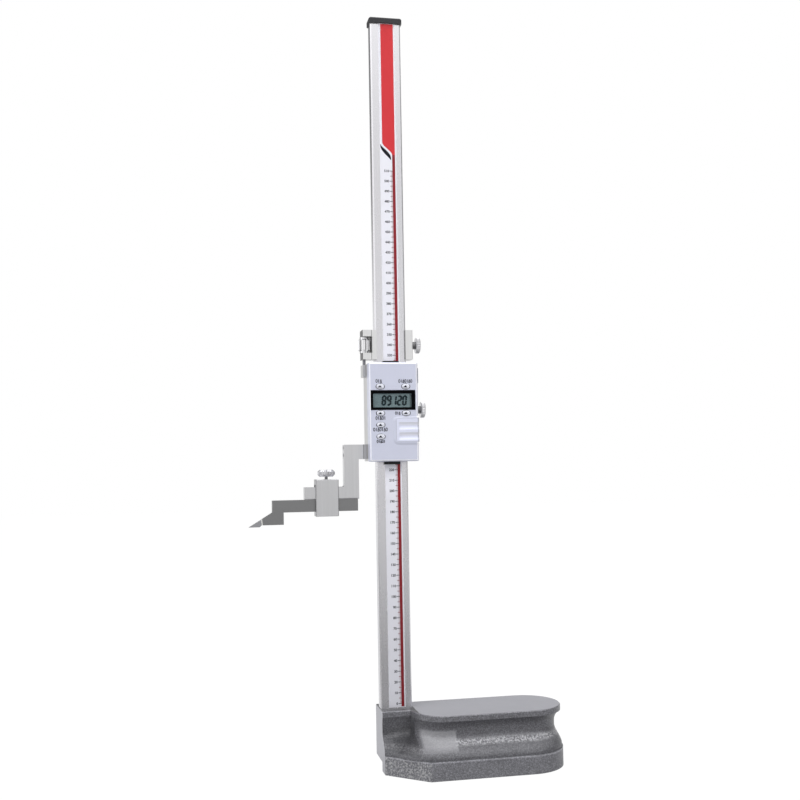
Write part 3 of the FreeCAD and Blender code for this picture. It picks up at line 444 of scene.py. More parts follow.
def bright_screws(name):
    finish = Finish(name)
    speck = finish.noise(1100, 3.0, 0.6)
    rub = finish.noise(300, 2.0, 0.6)
    return finish.surface(
        Base_Color=finish.mixed(speck, tint(176, 176, 180), tint(206, 206, 208)),
        Metallic=1.0,
        Roughness=0.22 + rub * 0.14,
        Normal=finish.bumps(speck, 0.1, 0.01 * MM),
    )


def moulding(name, colour, grain_scale=1800, depth=0.012, roughness=0.45, gloss=0.0, shine=0.5):
    """A moulded plastic or rubber with a fine spark-eroded grain; depth is in millimetres."""
    finish = Finish(name)
    grain = finish.noise(grain_scale, 2.0, 0.6)
    drift = finish.noise(60, 2.0, 0.5)
    return finish.surface(
        Base_Color=finish.mixed(drift, shade(colour, 0.95), shade(colour, 1.05)),
        Roughness=roughness + (grain - 0.5) * 0.16,
        Specular_IOR_Level=shine,
        Coat_Weight=gloss,
        Coat_Roughness=0.12,
        Normal=finish.bumps(grain, 0.3, depth * MM),
    )


def with_seam(finish, base, colour, low, high):
    """Painted shadow lines round a cover, painted shade widest at its right side, and painted highlights on
    the crests of its finger grooves.
    """
    x = finish.along("X")
    z = finish.along("Z")
    gap_shadow = (x < low.x + 0.6 * MM).most(z < low.z + 1.2 * MM).most(z > high.z - 1.2 * MM)
    base = finish.over(base, shade(colour, 0.35), gap_shadow, strength=0.4)
    base = finish.over(base, shade(colour, 0.3), x > high.x - 1.3 * MM, strength=0.6)
    for foot in GROOVE_FEET:
        levels = [low.z + (foot + step) * MM for step in (0.3, 1.4, 3.3, 3.9)]
        crest_highlight = finish.band(z, rise=levels[:2], fall=levels[2:]) * (x > low.x + 3.0 * MM)
        base = finish.over(base, tint(252, 252, 255), crest_highlight, strength=0.5)
    return base


def with_bright_rim(finish, base, low, high):
    """A painted highlight on the rim round a flat piece let into the front."""
    x = finish.along("X")
    z = finish.along("Z")
    rim = (x < low.x - 0.7 * MM).most(x > high.x + 0.2 * MM)
    rim = rim.most(z < low.z - 0.3 * MM).most(z > high.z + 0.3 * MM)
    front = finish.along("Y") < low.y + 0.6 * MM
    return finish.over(base, tint(250, 250, 254), rim * front, strength=0.8)


def silver_enamel(name, colour, flake=0.05, roughness=0.36, seam=None, inlay=None):
    """Silver-lavender paint with a fine metallic flake under a thin clear coat.

    A seam names a cover that gets painted shadow lines and painted highlights on its grooves; an inlay names
    a flat piece let into the front, round which a painted highlight runs.
    """
    finish = Finish(name)
    sparkle = finish.add("ShaderNodeSeparateColor", None, {0: finish.cells(5200, out="Color")}, out="Red")
    drift = finish.noise(38, 2.0, 0.5)
    base = finish.mixed(sparkle, shade(colour, 1 - flake), shade(colour, 1 + flake))
    base = finish.over(base, shade(colour, 0.9), finish.between(drift, 0.5, 0.8), strength=0.08)
    if seam:
        base = with_seam(finish, base, colour, *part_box(seam))
    if inlay:
        base = with_bright_rim(finish, base, *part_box(inlay))
    return finish.surface(
        Base_Color=base,
        Metallic=0.25 + sparkle * 0.15,
        Roughness=roughness + (sparkle - 0.5) * 0.12,
        Coat_Weight=0.25,
        Coat_Roughness=0.2,
        Normal=finish.bumps(sparkle, 0.05, 0.01 * MM),
    )


def printed_film(name, colour, roughness=0.3, shine=0.5):
    """Thin printed film or ink: a faint fibre in the colour, a soft gloss, and painted light and shade up the
    gauge's height.
    """
    finish = Finish(name)
    fibre = finish.noise(900, 3.0, 0.6)
    drift = finish.noise(22, 2.0, 0.5)
    base = finish.mixed(fibre, shade(colour, 0.97), shade(colour, 1.02))
    base = finish.over(base, shade(colour, 0.92), drift, strength=0.06)
    return finish.surface(
        Base_Color=finish.toned(base, finish.through(finish.along("Z"), LABEL_PAINTED_LIGHT)),
        Roughness=roughness + (fibre - 0.5) * 0.1,
        Specular_IOR_Level=shine,
        Coat_Weight=0.25 * shine,
        Coat_Roughness=0.15,
        Normal=finish.bumps(fibre, 0.06, 0.01 * MM),
    )


def crystal_panel(settings):
    """The display's grey-green panel, with painted light at its top and bottom edges and painted shade at the
    right.
    """
    finish = Finish("liquid crystal panel")
    low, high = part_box("display_window")
    edge = 2.6 * MM
    centre = finish.band(finish.along("Z"), rise=(low.z, low.z + edge), fall=(high.z - edge, high.z))
    dim = finish.between(finish.along("X"), high.x - edge, high.x - 1.2 * MM)
    weave = finish.noise(2600, 2.0, 0.5)
    # Painted light towards the top and bottom edges, and painted shade at the right
    base = finish.mixed(centre, shade(settings.panel, 1.3), settings.panel)
    base = finish.over(base, shade(settings.panel, 0.86), weave, strength=0.12)
    base = finish.over(base, shade(settings.panel, 0.16), dim, strength=0.7)
    return finish.surface(
        Base_Color=base, Roughness=0.32 + weave * 0.08, Coat_Weight=0.3, Coat_Roughness=0.08)


def clear_window():
    """The display's clear cover: what is behind it shows, with a faint sheen on top."""
    finish = Finish("clear display cover")
    refraction = 1.46
    smears = finish.noise(140, 3.0, 0.6)
    edge = finish.add("ShaderNodeFresnel", None, {"IOR": refraction})
    sheen = finish.add("ShaderNodeBsdfPrincipled", None, {
        "Base Color": tint(150, 168, 170),
        "Roughness": 0.05 + smears * 0.08,
        "IOR": refraction,
        "Specular IOR Level": 1.0,
    })
    clear = finish.add("ShaderNodeBsdfTransparent", None, {"Color": (0.97, 0.98, 0.98, 1.0)})
    return finish.ended(
        finish.add("ShaderNodeMixShader", None, {0: edge.least(0.6) * 0.8, 1: clear, 2: sheen}))


def circuit_green():
    finish = Finish("circuit board")
    tracks = finish.cells(420, "DISTANCE_TO_EDGE")
    lines = finish.between(tracks, 0.02, 0.05)
    base = finish.mixed(lines, tint(70, 140, 70), tint(18, 92, 52))
    return finish.surface(
        Base_Color=base,
        Roughness=0.35 + lines * 0.1,
        Coat_Weight=0.4,
        Normal=finish.bumps(lines, 0.2, 0.02 * MM),
    )


# Flat print, as thin shapes that lie just above the surface they are printed on

class PrintBed:
    """A flat face that looks to -Y, with x to the right and z up, both in millimetres from a corner."""

    figure_share = 0.72  # a figure's height as a share of the font's size
    ink_spread = 0.1

    def __init__(self, corner, lift=PRINT_LIFT):
        self.corner = Vector(corner)
        self.lift = lift
        self.shapes = bmesh.new()

    def point(self, x, z):
        return self.corner + Vector((x * MM, -self.lift * MM, z * MM))

    def outline(self, points):
        corners = [self.shapes.verts.new(self.point(x, z)) for x, z in points]
        face = self.shapes.faces.new(corners)
        face.normal_update()
        if face.normal.y > 0:
            face.normal_flip()

    def bar(self, left, right, bottom, top):
        self.outline([(left, bottom), (right, bottom), (right, top), (left, top)])

    def ribbon(self, points, width):
        """A line of even width through the points."""
        for (x0, z0), (x1, z1) in zip(points, points[1:]):
            length = math.hypot(x1 - x0, z1 - z0)
            nx, nz = (z0 - z1) / length * width / 2, (x1 - x0) / length * width / 2
            self.outline([(x0 - nx, z0 - nz), (x1 - nx, z1 - nz), (x1 + nx, z1 + nz), (x0 + nx, z0 + nz)])

    def words(self, text, right, middle, height):
        """Figures whose right edge and middle height are given."""
        figure = bpy.data.curves.new("figure", "FONT")
        figure.body = text
        figure.size = height / self.figure_share
        figure.resolution_u = 3
        figure.offset = self.ink_spread
        holder = placed("figure", figure)
        bpy.context.view_layer.update()
        flat = bpy.data.meshes.new_from_object(holder)
        reach = max(vertex.co.x for vertex in flat.vertices)
        levels = [vertex.co.y for vertex in flat.vertices]
        turned = Matrix.Translation(self.point(right - reach, middle - (min(levels) + max(levels)) / 2))
        turned = turned @ Matrix.Rotation(math.pi / 2, 4, "X") @ Matrix.Scale(MM, 4)
        flat.transform(turned)
        self.shapes.from_mesh(flat)
        bpy.data.curves.remove(figure)
        bpy.data.meshes.remove(flat)

    def piece(self, name, finish, body, slot):
        mesh = bpy.data.meshes.new(name)
        bmesh.ops.triangulate(self.shapes, faces=[face for face in self.shapes.faces if len(face.verts) > 4])
        self.shapes.to_mesh(mesh)
        self.shapes.free()
        new_piece(name, mesh, finish, body)


def label_bed():
    return PrintBed(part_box("scale_label")[0])


def s_curve(start, end, steps=16, lean=0.08):
    """Points of a soft S from start to end; with no lean it would leave and arrive along z."""
    points = []
    for step in range(steps + 1):
        t = step / steps
        ease = lean * t + (1 - lean) * t * t * (3 - 2 * t)
        points.append((start[0] + (end[0] - start[0]) * ease, start[1] + (end[1] - start[1]) * t))
    return points


def oval(x, z, half_width, half_height, steps):
    """Points once round an oval; the last is the first again."""
    turns = [math.tau * step / steps for step in range(steps + 1)]
    return [(x + half_width * math.cos(turn), z + half_height * math.sin(turn)) for turn in turns]


# Buttons

# From the foot of a cap's rolled edge to its crown: how far it has risen, and how much of its width is left
CAP_PROFILE = ((0.0, 1.0), (0.45, 1.0), (0.72, 0.965), (0.88, 0.88), (0.96, 0.72), (1.0, 0.4))


def domed_button(mesh_name, middle, crown, seat, width=7.4, height=4.6, proud=0.9, around=40):
    """A cap with a soft rolled edge from its crown back to its seat; its sizes are in millimetres."""
    shape = bmesh.new()
    straight = (width - height) / 2
    front = crown + proud * MM
    levels = [(seat, 1.0)] + [(front - proud * MM * rise, size) for rise, size in CAP_PROFILE]
    previous = None
    for y, size in levels:
        radius = height / 2 * size
        flat = straight * min(1.0, 0.35 + 0.65 * size)
        loop = []
        for step in range(around):
            angle = math.tau * (step + 0.5) / around
            x = math.cos(angle) * radius + math.copysign(flat, math.cos(angle))
            z = math.sin(angle) * radius
            loop.append(shape.verts.new((middle.x + x * MM, y, middle.z + z * MM)))
        if previous:
            for corners in zip(previous, previous[1:] + previous[:1], loop[1:] + loop[:1], loop):
                shape.faces.new(corners)
        previous = loop
    shape.faces.new(previous)
    bmesh.ops.recalc_face_normals(shape, faces=shape.faces)
    mesh = bpy.data.meshes.new(mesh_name)
    shape.to_mesh(mesh)
    shape.free()
    mesh.shade_smooth()
    return mesh


# Settings

def colour_setting(name, description, default):
    return bpy.props.FloatVectorProperty(
        name=name, description=description, subtype="COLOR", size=4, min=0.0, max=1.0, default=default)


def number_setting(name, description, default, **limits):
    return bpy.props.FloatProperty(name=name, description=description, default=default, **limits)


def angle_setting(name, description, default):
    return number_setting(name, description, default, subtype="ANGLE", unit="ROTATION")


class BaseSettings(bpy.types.PropertyGroup):
    """Colours of the base, the beam and the bare metal."""

    enamel: colour_setting("Enamel", "Grey of the hammertone enamel on the base", tint(121, 121, 126))
    beam: colour_setting("Beam steel", "Colour of the ground beam", tint(231, 230, 234))
    frame_steel: colour_setting("Slider steel", "Colour of the slider and the carriage", tint(240, 240, 240))
    arm: colour_setting("Arm steel", "Colour of the arm and the clamp", tint(224, 224, 226))
    scriber: colour_setting("Scriber steel", "Colour of the darker scriber", tint(150, 150, 151))


class ScaleSettings(bpy.types.PropertyGroup):
    """Sizes, in millimetres, and colours of the printed scale."""

    zero_height: number_setting("Zero height", "Height of the 0 mark above the label's lower end", 3.4)
    figure_height: number_setting("Figure height", "Height of the printed figures", 2.35, min=0.5)
    mark_width: number_setting("Mark width", "Width of a printed 10 mm mark", 0.6, min=0.05)
    label: colour_setting("Label", "White of the printed label", tint(231, 231, 239))
    ink: colour_setting("Ink", "Ink of the marks and figures", tint(26, 26, 34))
    stripe: colour_setting("Stripe", "Dark red of the stripe beside the marks", tint(132, 30, 38))
    field: colour_setting("Field", "Red of the field at the top", tint(204, 52, 58))


class HousingSettings(bpy.types.PropertyGroup):
    """Colours of the electronics housing, and what its display shows."""

    silver: colour_setting("Silver", "Silver-lavender of the housing", tint(207, 210, 227))
    button: colour_setting("Buttons", "Colour of the oval buttons", tint(224, 226, 236))
    panel: colour_setting("Display", "Grey-green of the display panel", tint(126, 145, 150))
    digit: colour_setting("Digits", "Ink of the shown digits", tint(6, 28, 36))
    reading: bpy.props.StringProperty(
        name="Reading", description="Figures that the display shows", default="89120")


class StudioSettings(bpy.types.PropertyGroup):
    """The camera and the light."""

    focal_length: number_setting("Focal length", "Lens, in millimetres on a 36 mm frame", 47.553)
    yaw: angle_setting("Yaw", "Turn of the camera away from +Y towards +X", 0.1984)
    pitch: angle_setting("Pitch", "Tilt of the camera upwards", 0.0613)
    roll: angle_setting("Roll", "Roll of the camera", -0.0174)
    lamp_level: number_setting("Lamp level", "Multiplies every lamp", 1.0, min=0.0)


# Operators

class MakesPieces(bpy.types.Operator):
    """Shared by the operators below."""

    bl_options = {"REGISTER", "UNDO"}

    def execute(self, context):
        self.make(context.scene)
        return {"FINISHED"}


class GAUGE_OT_base(MakesPieces):
    """Hammertone enamel on the base casting, plated beam screws"""

    bl_idname = "gauge.base"
    bl_label = "Base casting"

    def make(self, scene):
        dress("base_casting", hammertone_iron(scene.gauge_base))
        smooth_over("base_casting", math.radians(30))
        dress("beam_screws", bright_screws("beam screws"))


class GAUGE_OT_beam(MakesPieces):
    """Ground beam, its measuring strip and its black cap"""

    bl_idname = "gauge.beam"
    bl_label = "Beam"

    def make(self, scene):
        ground = satin_steel(
            "ground beam", scene.gauge_base.beam, roughness=0.27, streak=0.02, spread=0.05, cut=0.08)
        dress("beam", ground)
        dress("grating_strip", moulding("measuring strip", tint(40, 110, 70), roughness=0.3, gloss=0.4))
        dress("beam_cap", moulding("black cap", tint(36, 36, 40), 1500, 0.03, 0.42), bevel=0.6)


class GAUGE_OT_scale(MakesPieces):
    """The printed label: marks, figures, stripe and the red field at the top"""

    bl_idname = "gauge.scale"
    bl_label = "Printed scale"

    # Places on the label, in millimetres right of and above its lower left corner
    stripe_left, stripe_right, stripe_foot, stripe_top = 12.0, 14.8, 0.6, 529.4
    field_left, field_shoulder, field_margin = 2.3, 541.6, 0.4
    swoosh_start, swoosh_end = (0.6, 539.6), (10.6, 524.4)
    swoosh_half, swoosh_swell, swoosh_across = 0.3, 1.6, (0.75, 0.55)
    figures_right = 8.7
    last_mark = 510
    # Where the marks of each 10, 5 and 1 mm start, and their width as a share of a 10 mm mark's
    long_mark, middle_mark, short_mark = (9.2, 1.0), (10.0, 1.1), (10.6, 0.5)

    def make(self, scene):
        choice = scene.gauge_scale
        dress("scale_label", printed_film("white label film", choice.label))
        ink = printed_film("scale ink", choice.ink, roughness=0.5, shine=0.15)
        red = printed_film("stripe ink", choice.stripe, roughness=0.4, shine=0.3)
        bright = printed_film("field ink", choice.field, roughness=0.35, shine=0.3)
        self.marks(choice, ink, red)
        self.figures(choice, ink)
        self.stripe_and_field(red, bright)
        self.swoosh(ink)

    def marks(self, choice, ink, red):
        """Long marks each 10 mm in ink, and those each 5 mm and 1 mm in the stripe's red."""
        marks, fine_marks = label_bed(), label_bed()
        for count in range(self.last_mark + 1):
            bed, (left, share) = fine_marks, self.short_mark
            if count % 10 == 0:
                bed, (left, share) = marks, self.long_mark
            elif count % 5 == 0:
                left, share = self.middle_mark
            half = choice.mark_width * share / 2
            height = choice.zero_height + count
            bed.bar(left, self.stripe_left, height - half, height + half)
        marks.piece("scale_marks", ink, "base", "label_white")
        fine_marks.piece("fine_scale_marks", red, "base", "label_white")

    def figures(self, choice, ink):
        figures = label_bed()
        for count in range(0, self.last_mark + 1, 10):
            figures.words(str(count), self.figures_right, choice.zero_height + count, choice.figure_height)
        figures.piece("scale_figures", ink, "base", "label_white")

    def stripe_and_field(self, red, bright):
        low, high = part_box("scale_label")
        field_top = (high.z - low.z) / MM - self.field_margin
        stripe = label_bed()
        stripe.bar(self.stripe_left, self.stripe_right, self.stripe_foot, self.stripe_top)
        stripe.piece("scale_stripe", red, "base", "label_white")
        boundary = s_curve((self.field_left, self.field_shoulder), (self.stripe_left, self.stripe_top))
        right_side = [(self.stripe_right, self.stripe_top), (self.stripe_right, field_top)]
        field = label_bed()
        field.outline(boundary + right_side + [(self.field_left, field_top)])
        field.piece("red_field", bright, "base", "label_white")

    def swoosh(self, ink):
        """A curved stroke under the field, thickest past its middle."""
        upper, lower = [], []
        right, up = self.swoosh_across
        middle = s_curve(self.swoosh_start, self.swoosh_end)
        for step, (x, z) in enumerate(middle):
            share = step / (len(middle) - 1)
            half = self.swoosh_half + self.swoosh_swell * math.sin(math.pi * share ** 1.15)
            upper.append((x + half * right, z + half * up))
            lower.append((x - half * right, z - half * up))
        swoosh = label_bed()
        for step in range(len(middle) - 1):
            swoosh.outline([lower[step], lower[step + 1], upper[step + 1], upper[step]])
        swoosh.piece("black_swoosh", ink, "base", "label_white")


class GAUGE_OT_slider(MakesPieces):
    """The slider's frame, back plate, gib, wipers and screws"""

    bl_idname = "gauge.slider"
    bl_label = "Slider"

    def make(self, scene):
        steel = satin_steel("slider steel", shade(scene.gauge_base.frame_steel, 0.66))
        for node in ("slider_frame", "slider_back_plate"):
            dress(node, steel, bevel=0.15)
        screws = bright_screws("slider screws")
        for node in ("back_plate_screws", "gib_screws", "housing_screws", "arm_screws"):
            dress(node, screws)
        dress("slider_gib", satin_steel("brass gib", BRASS, roughness=0.34))
        dress("slider_wipers", moulding("rubber wipers", tint(30, 30, 32), 900, 0.04, 0.6))
        dress("slider_lock_screw", lock_knob("lock knob", tint(250, 250, 252), "slider_lock_screw"))


class GAUGE_OT_adjuster(MakesPieces):
    """The fine-adjustment carriage with its wheel, screw, pad and lock knob"""

    bl_idname = "gauge.adjuster"
    bl_label = "Fine adjustment"

    # Painted reflections on the wheel, dark bands: from and to, in millimetres right of its middle, and
    # strength
    wheel_bands = ((-4.5, -3.3, 0.6), (0.1, 1.3, 0.55), (3.4, 4.2, 0.6))

    def make(self, scene):
        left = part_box("carriage_frame")[0].x
        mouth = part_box("beam")[1].x - 1.2 * MM
        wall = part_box("fine_adjust_wheel")[1].x + 0.6 * MM
        # Painted shade on the carriage's left face and on the window's wall behind the wheel, and a painted
        # shadow line at the mouth over the beam
        dark = (
            (left - FAR, left + 0.25 * MM, 1.0),
            (wall - 0.3 * MM, wall + 0.05 * MM, 0.97),
            (mouth, mouth + 0.55 * MM, 0.75),
        )
        steel = satin_steel("carriage steel", scene.gauge_base.frame_steel, roughness=0.32, dark=dark)
        dress("carriage_frame", steel, bevel=0.2)
        dress("fine_adjust_screw", satin_steel("adjusting screw", tint(140, 140, 145), EVEN_GRAIN, 0.34))
        dress("carriage_pad", satin_steel("brass pad", BRASS, roughness=0.34))
        axis = middle_of("fine_adjust_wheel").x
        dark = [(axis + start * MM, axis + end * MM, strength) for start, end, strength in self.wheel_bands]
        chrome = satin_steel("adjusting wheel", tint(236, 236, 238), roughness=0.18, streak=0.03, dark=dark)
        dress("fine_adjust_wheel", chrome)
        dress("carriage_lock_screw", lock_knob("carriage knob", tint(242, 242, 245), "carriage_lock_screw"))


class GAUGE_OT_arm(MakesPieces):
    """The measuring arm, the clamp with its screw, and the scriber"""

    bl_idname = "gauge.arm"
    bl_label = "Arm and scriber"

    def make(self, scene):
        choice = scene.gauge_base
        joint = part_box("measuring_arm")[1].x
        # Painted shade at the arm's right end, where it meets the slider
        dark = ((joint - 0.5 * MM, joint + FAR, 0.6),)
        arm = satin_steel("plated arm", choice.arm, roughness=0.34, streak=0.13, dark=dark)
        dress("measuring_arm", arm, bevel=0.3)
        low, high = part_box("scriber_clamp")
        # Painted shade at the clamp's left and right sides, beside the arm
        dark = ((low.x - FAR, low.x + 0.7 * MM, 0.4), (high.x - 0.6 * MM, high.x + FAR, 0.4))
        clamp = satin_steel("plated clamp", choice.arm, roughness=0.34, streak=0.15, dark=dark)
        dress("scriber_clamp", clamp)
        knob = turned_steel(
            "clamp knob", tint(222, 222, 226), "clamp_screw", "Z",
            rim=8.3 * MM, roughness=0.12, neck=1.7 * MM)
        dress("clamp_screw", knob)
        dress("scriber_body", satin_steel("tool steel", choice.scriber, (0.03, 1.0, 1.0), 0.4), bevel=0.15)
        dress("braze_seam", satin_steel("silver braze", tint(250, 250, 246), EVEN_GRAIN))
        dress("carbide_tip", satin_steel("ground carbide", tint(176, 176, 180), (0.05, 1.0, 1.0), 0.26))


class GAUGE_OT_housing(MakesPieces):
    """The electronics housing, its overlay, battery cover and data port"""

    bl_idname = "gauge.housing"
    bl_label = "Housing"

    def make(self, scene):
        silver = scene.gauge_housing.silver
        dress("electronics_housing", silver_enamel("housing enamel", silver, inlay="face_overlay"))
        overlay = silver_enamel("overlay enamel", shade(silver, 0.985), flake=0.035, roughness=0.4)
        dress("face_overlay", overlay)
        # The cover is a lighter copy of the housing silver: painted light that softens the shade in its
        # grooves
        cover = silver_enamel("cover enamel", shade(silver, 1.16), seam="battery_cover")
        dress("battery_cover", cover, bevel=0.2)
        dress("port_cover", moulding("port cover", tint(118, 119, 128), roughness=0.4))
        dark = moulding("dark moulding", tint(46, 46, 50))
        for node in ("port_connector", "key_switches", "reading_head"):
            dress(node, dark)
        dress("zebra_strips", moulding("contact rubber", tint(205, 150, 172), roughness=0.6))
        dress("circuit_board", circuit_green())
        dress("button_cell", satin_steel("cell can", tint(214, 214, 214), EVEN_GRAIN, 0.22))
        dress("cell_contacts", satin_steel("sprung brass", tint(222, 198, 128), EVEN_GRAIN, 0.26))


class GAUGE_OT_display(MakesPieces):
    """The display: frame, clear cover, panel and the shown digits"""

    bl_idname = "gauge.display"
    bl_label = "Display"

    # The segments that each figure lights: a at the top, b to f clockwise from it, g in the middle
    lit = {
        "0": "abcdef", "1": "bc", "2": "abged", "3": "abgcd", "4": "fgbc",
        "5": "afgcd", "6": "afgedc", "7": "abc", "8": "abcdefg", "9": "abcdfg",
    }
    # The two ends of each segment, x and z, as shares of a figure's half width and half height
    ends = {
        "a": (-1, 1, 1, 1), "b": (1, 0, 1, 1), "c": (1, -1, 1, 0), "d": (-1, -1, 1, -1),
        "e": (-1, -1, -1, 0), "f": (-1, 0, -1, 1), "g": (-1, 0, 1, 0),
    }
    first_left, pitch = 9.22, 4.95
    half_width, half_height, stroke, lean = 1.45, 4.1, 1.9, 0.105
    gap = -0.25  # negative, so that a figure's segments run together

    def make(self, scene):
        choice = scene.gauge_housing
        bezel = moulding("black display frame", tint(4, 4, 6), 1300, 0.01, shine=0.04)
        dress("display_bezel", bezel, bevel=0.08)
        dress("display_window", clear_window())
        dress("lcd_panel", crystal_panel(choice))
        window_low, window_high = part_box("display_window")
        bed = PrintBed((window_low.x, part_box("lcd_panel")[0].y, window_low.z), lift=0.03)
        middle = (window_high.z - window_low.z) / MM / 2
        for place, figure in enumerate(choice.reading):
            self.digit(bed, figure, self.first_left + place * self.pitch, middle)
        ink = printed_film("digit ink", choice.digit, roughness=0.5, shine=0.1)
        bed.piece("shown_digits", ink, "slider", "lcd_grey")

    def digit(self, bed, figure, left, middle):
        """One seven-segment digit, slanted to the right."""
        half = self.stroke / 2
        inset = half + self.gap
        reaches = (self.half_width, self.half_height) * 2
        for segment in self.lit[figure]:
            x0, z0, x1, z1 = [share * reach for share, reach in zip(self.ends[segment], reaches)]
            if z0 == z1:
                shape = [
                    (x0 + self.gap, z0), (x0 + inset, z0 - half), (x1 - inset, z0 - half),
                    (x1 - self.gap, z0), (x1 - inset, z0 + half), (x0 + inset, z0 + half),
                ]
            else:
                shape = [
                    (x0, z0 + self.gap), (x0 + half, z0 + inset), (x0 + half, z1 - inset),
                    (x0, z1 - self.gap), (x0 - half, z1 - inset), (x0 - half, z0 + inset),
                ]
            bed.outline([(left + self.half_width + x + z * self.lean, middle + z) for x, z in shape])


class GAUGE_OT_buttons(MakesPieces):
    """Domed oval buttons in place of the plain ones, with printed outlines and plain signs"""

    bl_idname = "gauge.buttons"
    bl_label = "Buttons"

    # For each key: how far right and up its row of signs stands, how many signs, and how tall they are
    signs = {
        "tolerance_button": (-1.3, 5.1, 3, 3.3), "power_button": (-0.4, 5.1, 7, 3.1),
        "hold_button": (0.0, -4.5, 5, 3.2), "direction_button": (-8.1, 0.0, 3, 2.8),
        "zero_button": (-0.4, -4.3, 7, 3.2), "unit_button": (0.0, -4.5, 5, 2.7),
    }
    ring_half_width, ring_half_height, ring_line, sign_line = 4.15, 2.55, 0.55, 0.6
    triangle = ((-2.7, -1.0), (1.5, -1.0), (-0.3, 1.15))

    def make(self, scene):
        finish = silver_enamel("button enamel", scene.gauge_housing.button, flake=0.03, roughness=0.3)
        line = printed_film("key ink", scene.gauge_scale.ink, roughness=0.5, shine=0.15)
        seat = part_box("electronics_housing")[0].y + 2.0 * MM
        rings = PrintBed((0.0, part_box("face_overlay")[0].y, 0.0))
        for key, (right, up, count, tall) in self.signs.items():
            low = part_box(key)[0]
            middle = middle_of(key)
            cap = domed_button(key + "_cap", middle, low.y, seat)
            piece = new_piece(key + "_cap", cap, finish, key + "_key")
            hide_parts(key)
            x, z = middle.x / MM, middle.z / MM
            rings.ribbon(oval(x, z, self.ring_half_width, self.ring_half_height, 40), self.ring_line)
            # A printed triangle sign, placed where the cap shows a dark reflection, so it is also a painted
            # reflection
            mark = PrintBed((middle.x, low.y, middle.z))
            mark.outline(self.triangle)
            mark.piece(key + "_mark", line, key + "_key", "button_silver")
            self.sign_row(rings, x + right, z + up, count, tall)
        rings.piece("key_rings", line, "slider", "overlay_silver")

    def sign_row(self, bed, centre, level, count, tall):
        """A row of plain signs: an open oval, a bar and an open triangle, over and over."""
        pitch = tall * 0.62
        half = pitch * 0.36
        half_bar = 0.34
        low, high = level - tall / 2, level + tall / 2
        for place in range(count):
            x = centre + (place - (count - 1) / 2) * pitch
            if place % 3 == 0:
                bed.ribbon(oval(x, level, half, tall / 2, 12), self.sign_line)
            elif place % 3 == 1:
                bed.bar(x - half_bar, x + half_bar, low, high)
            else:
                bed.ribbon([(x - half, low), (x, high), (x + half, low), (x - half, low)], self.sign_line)


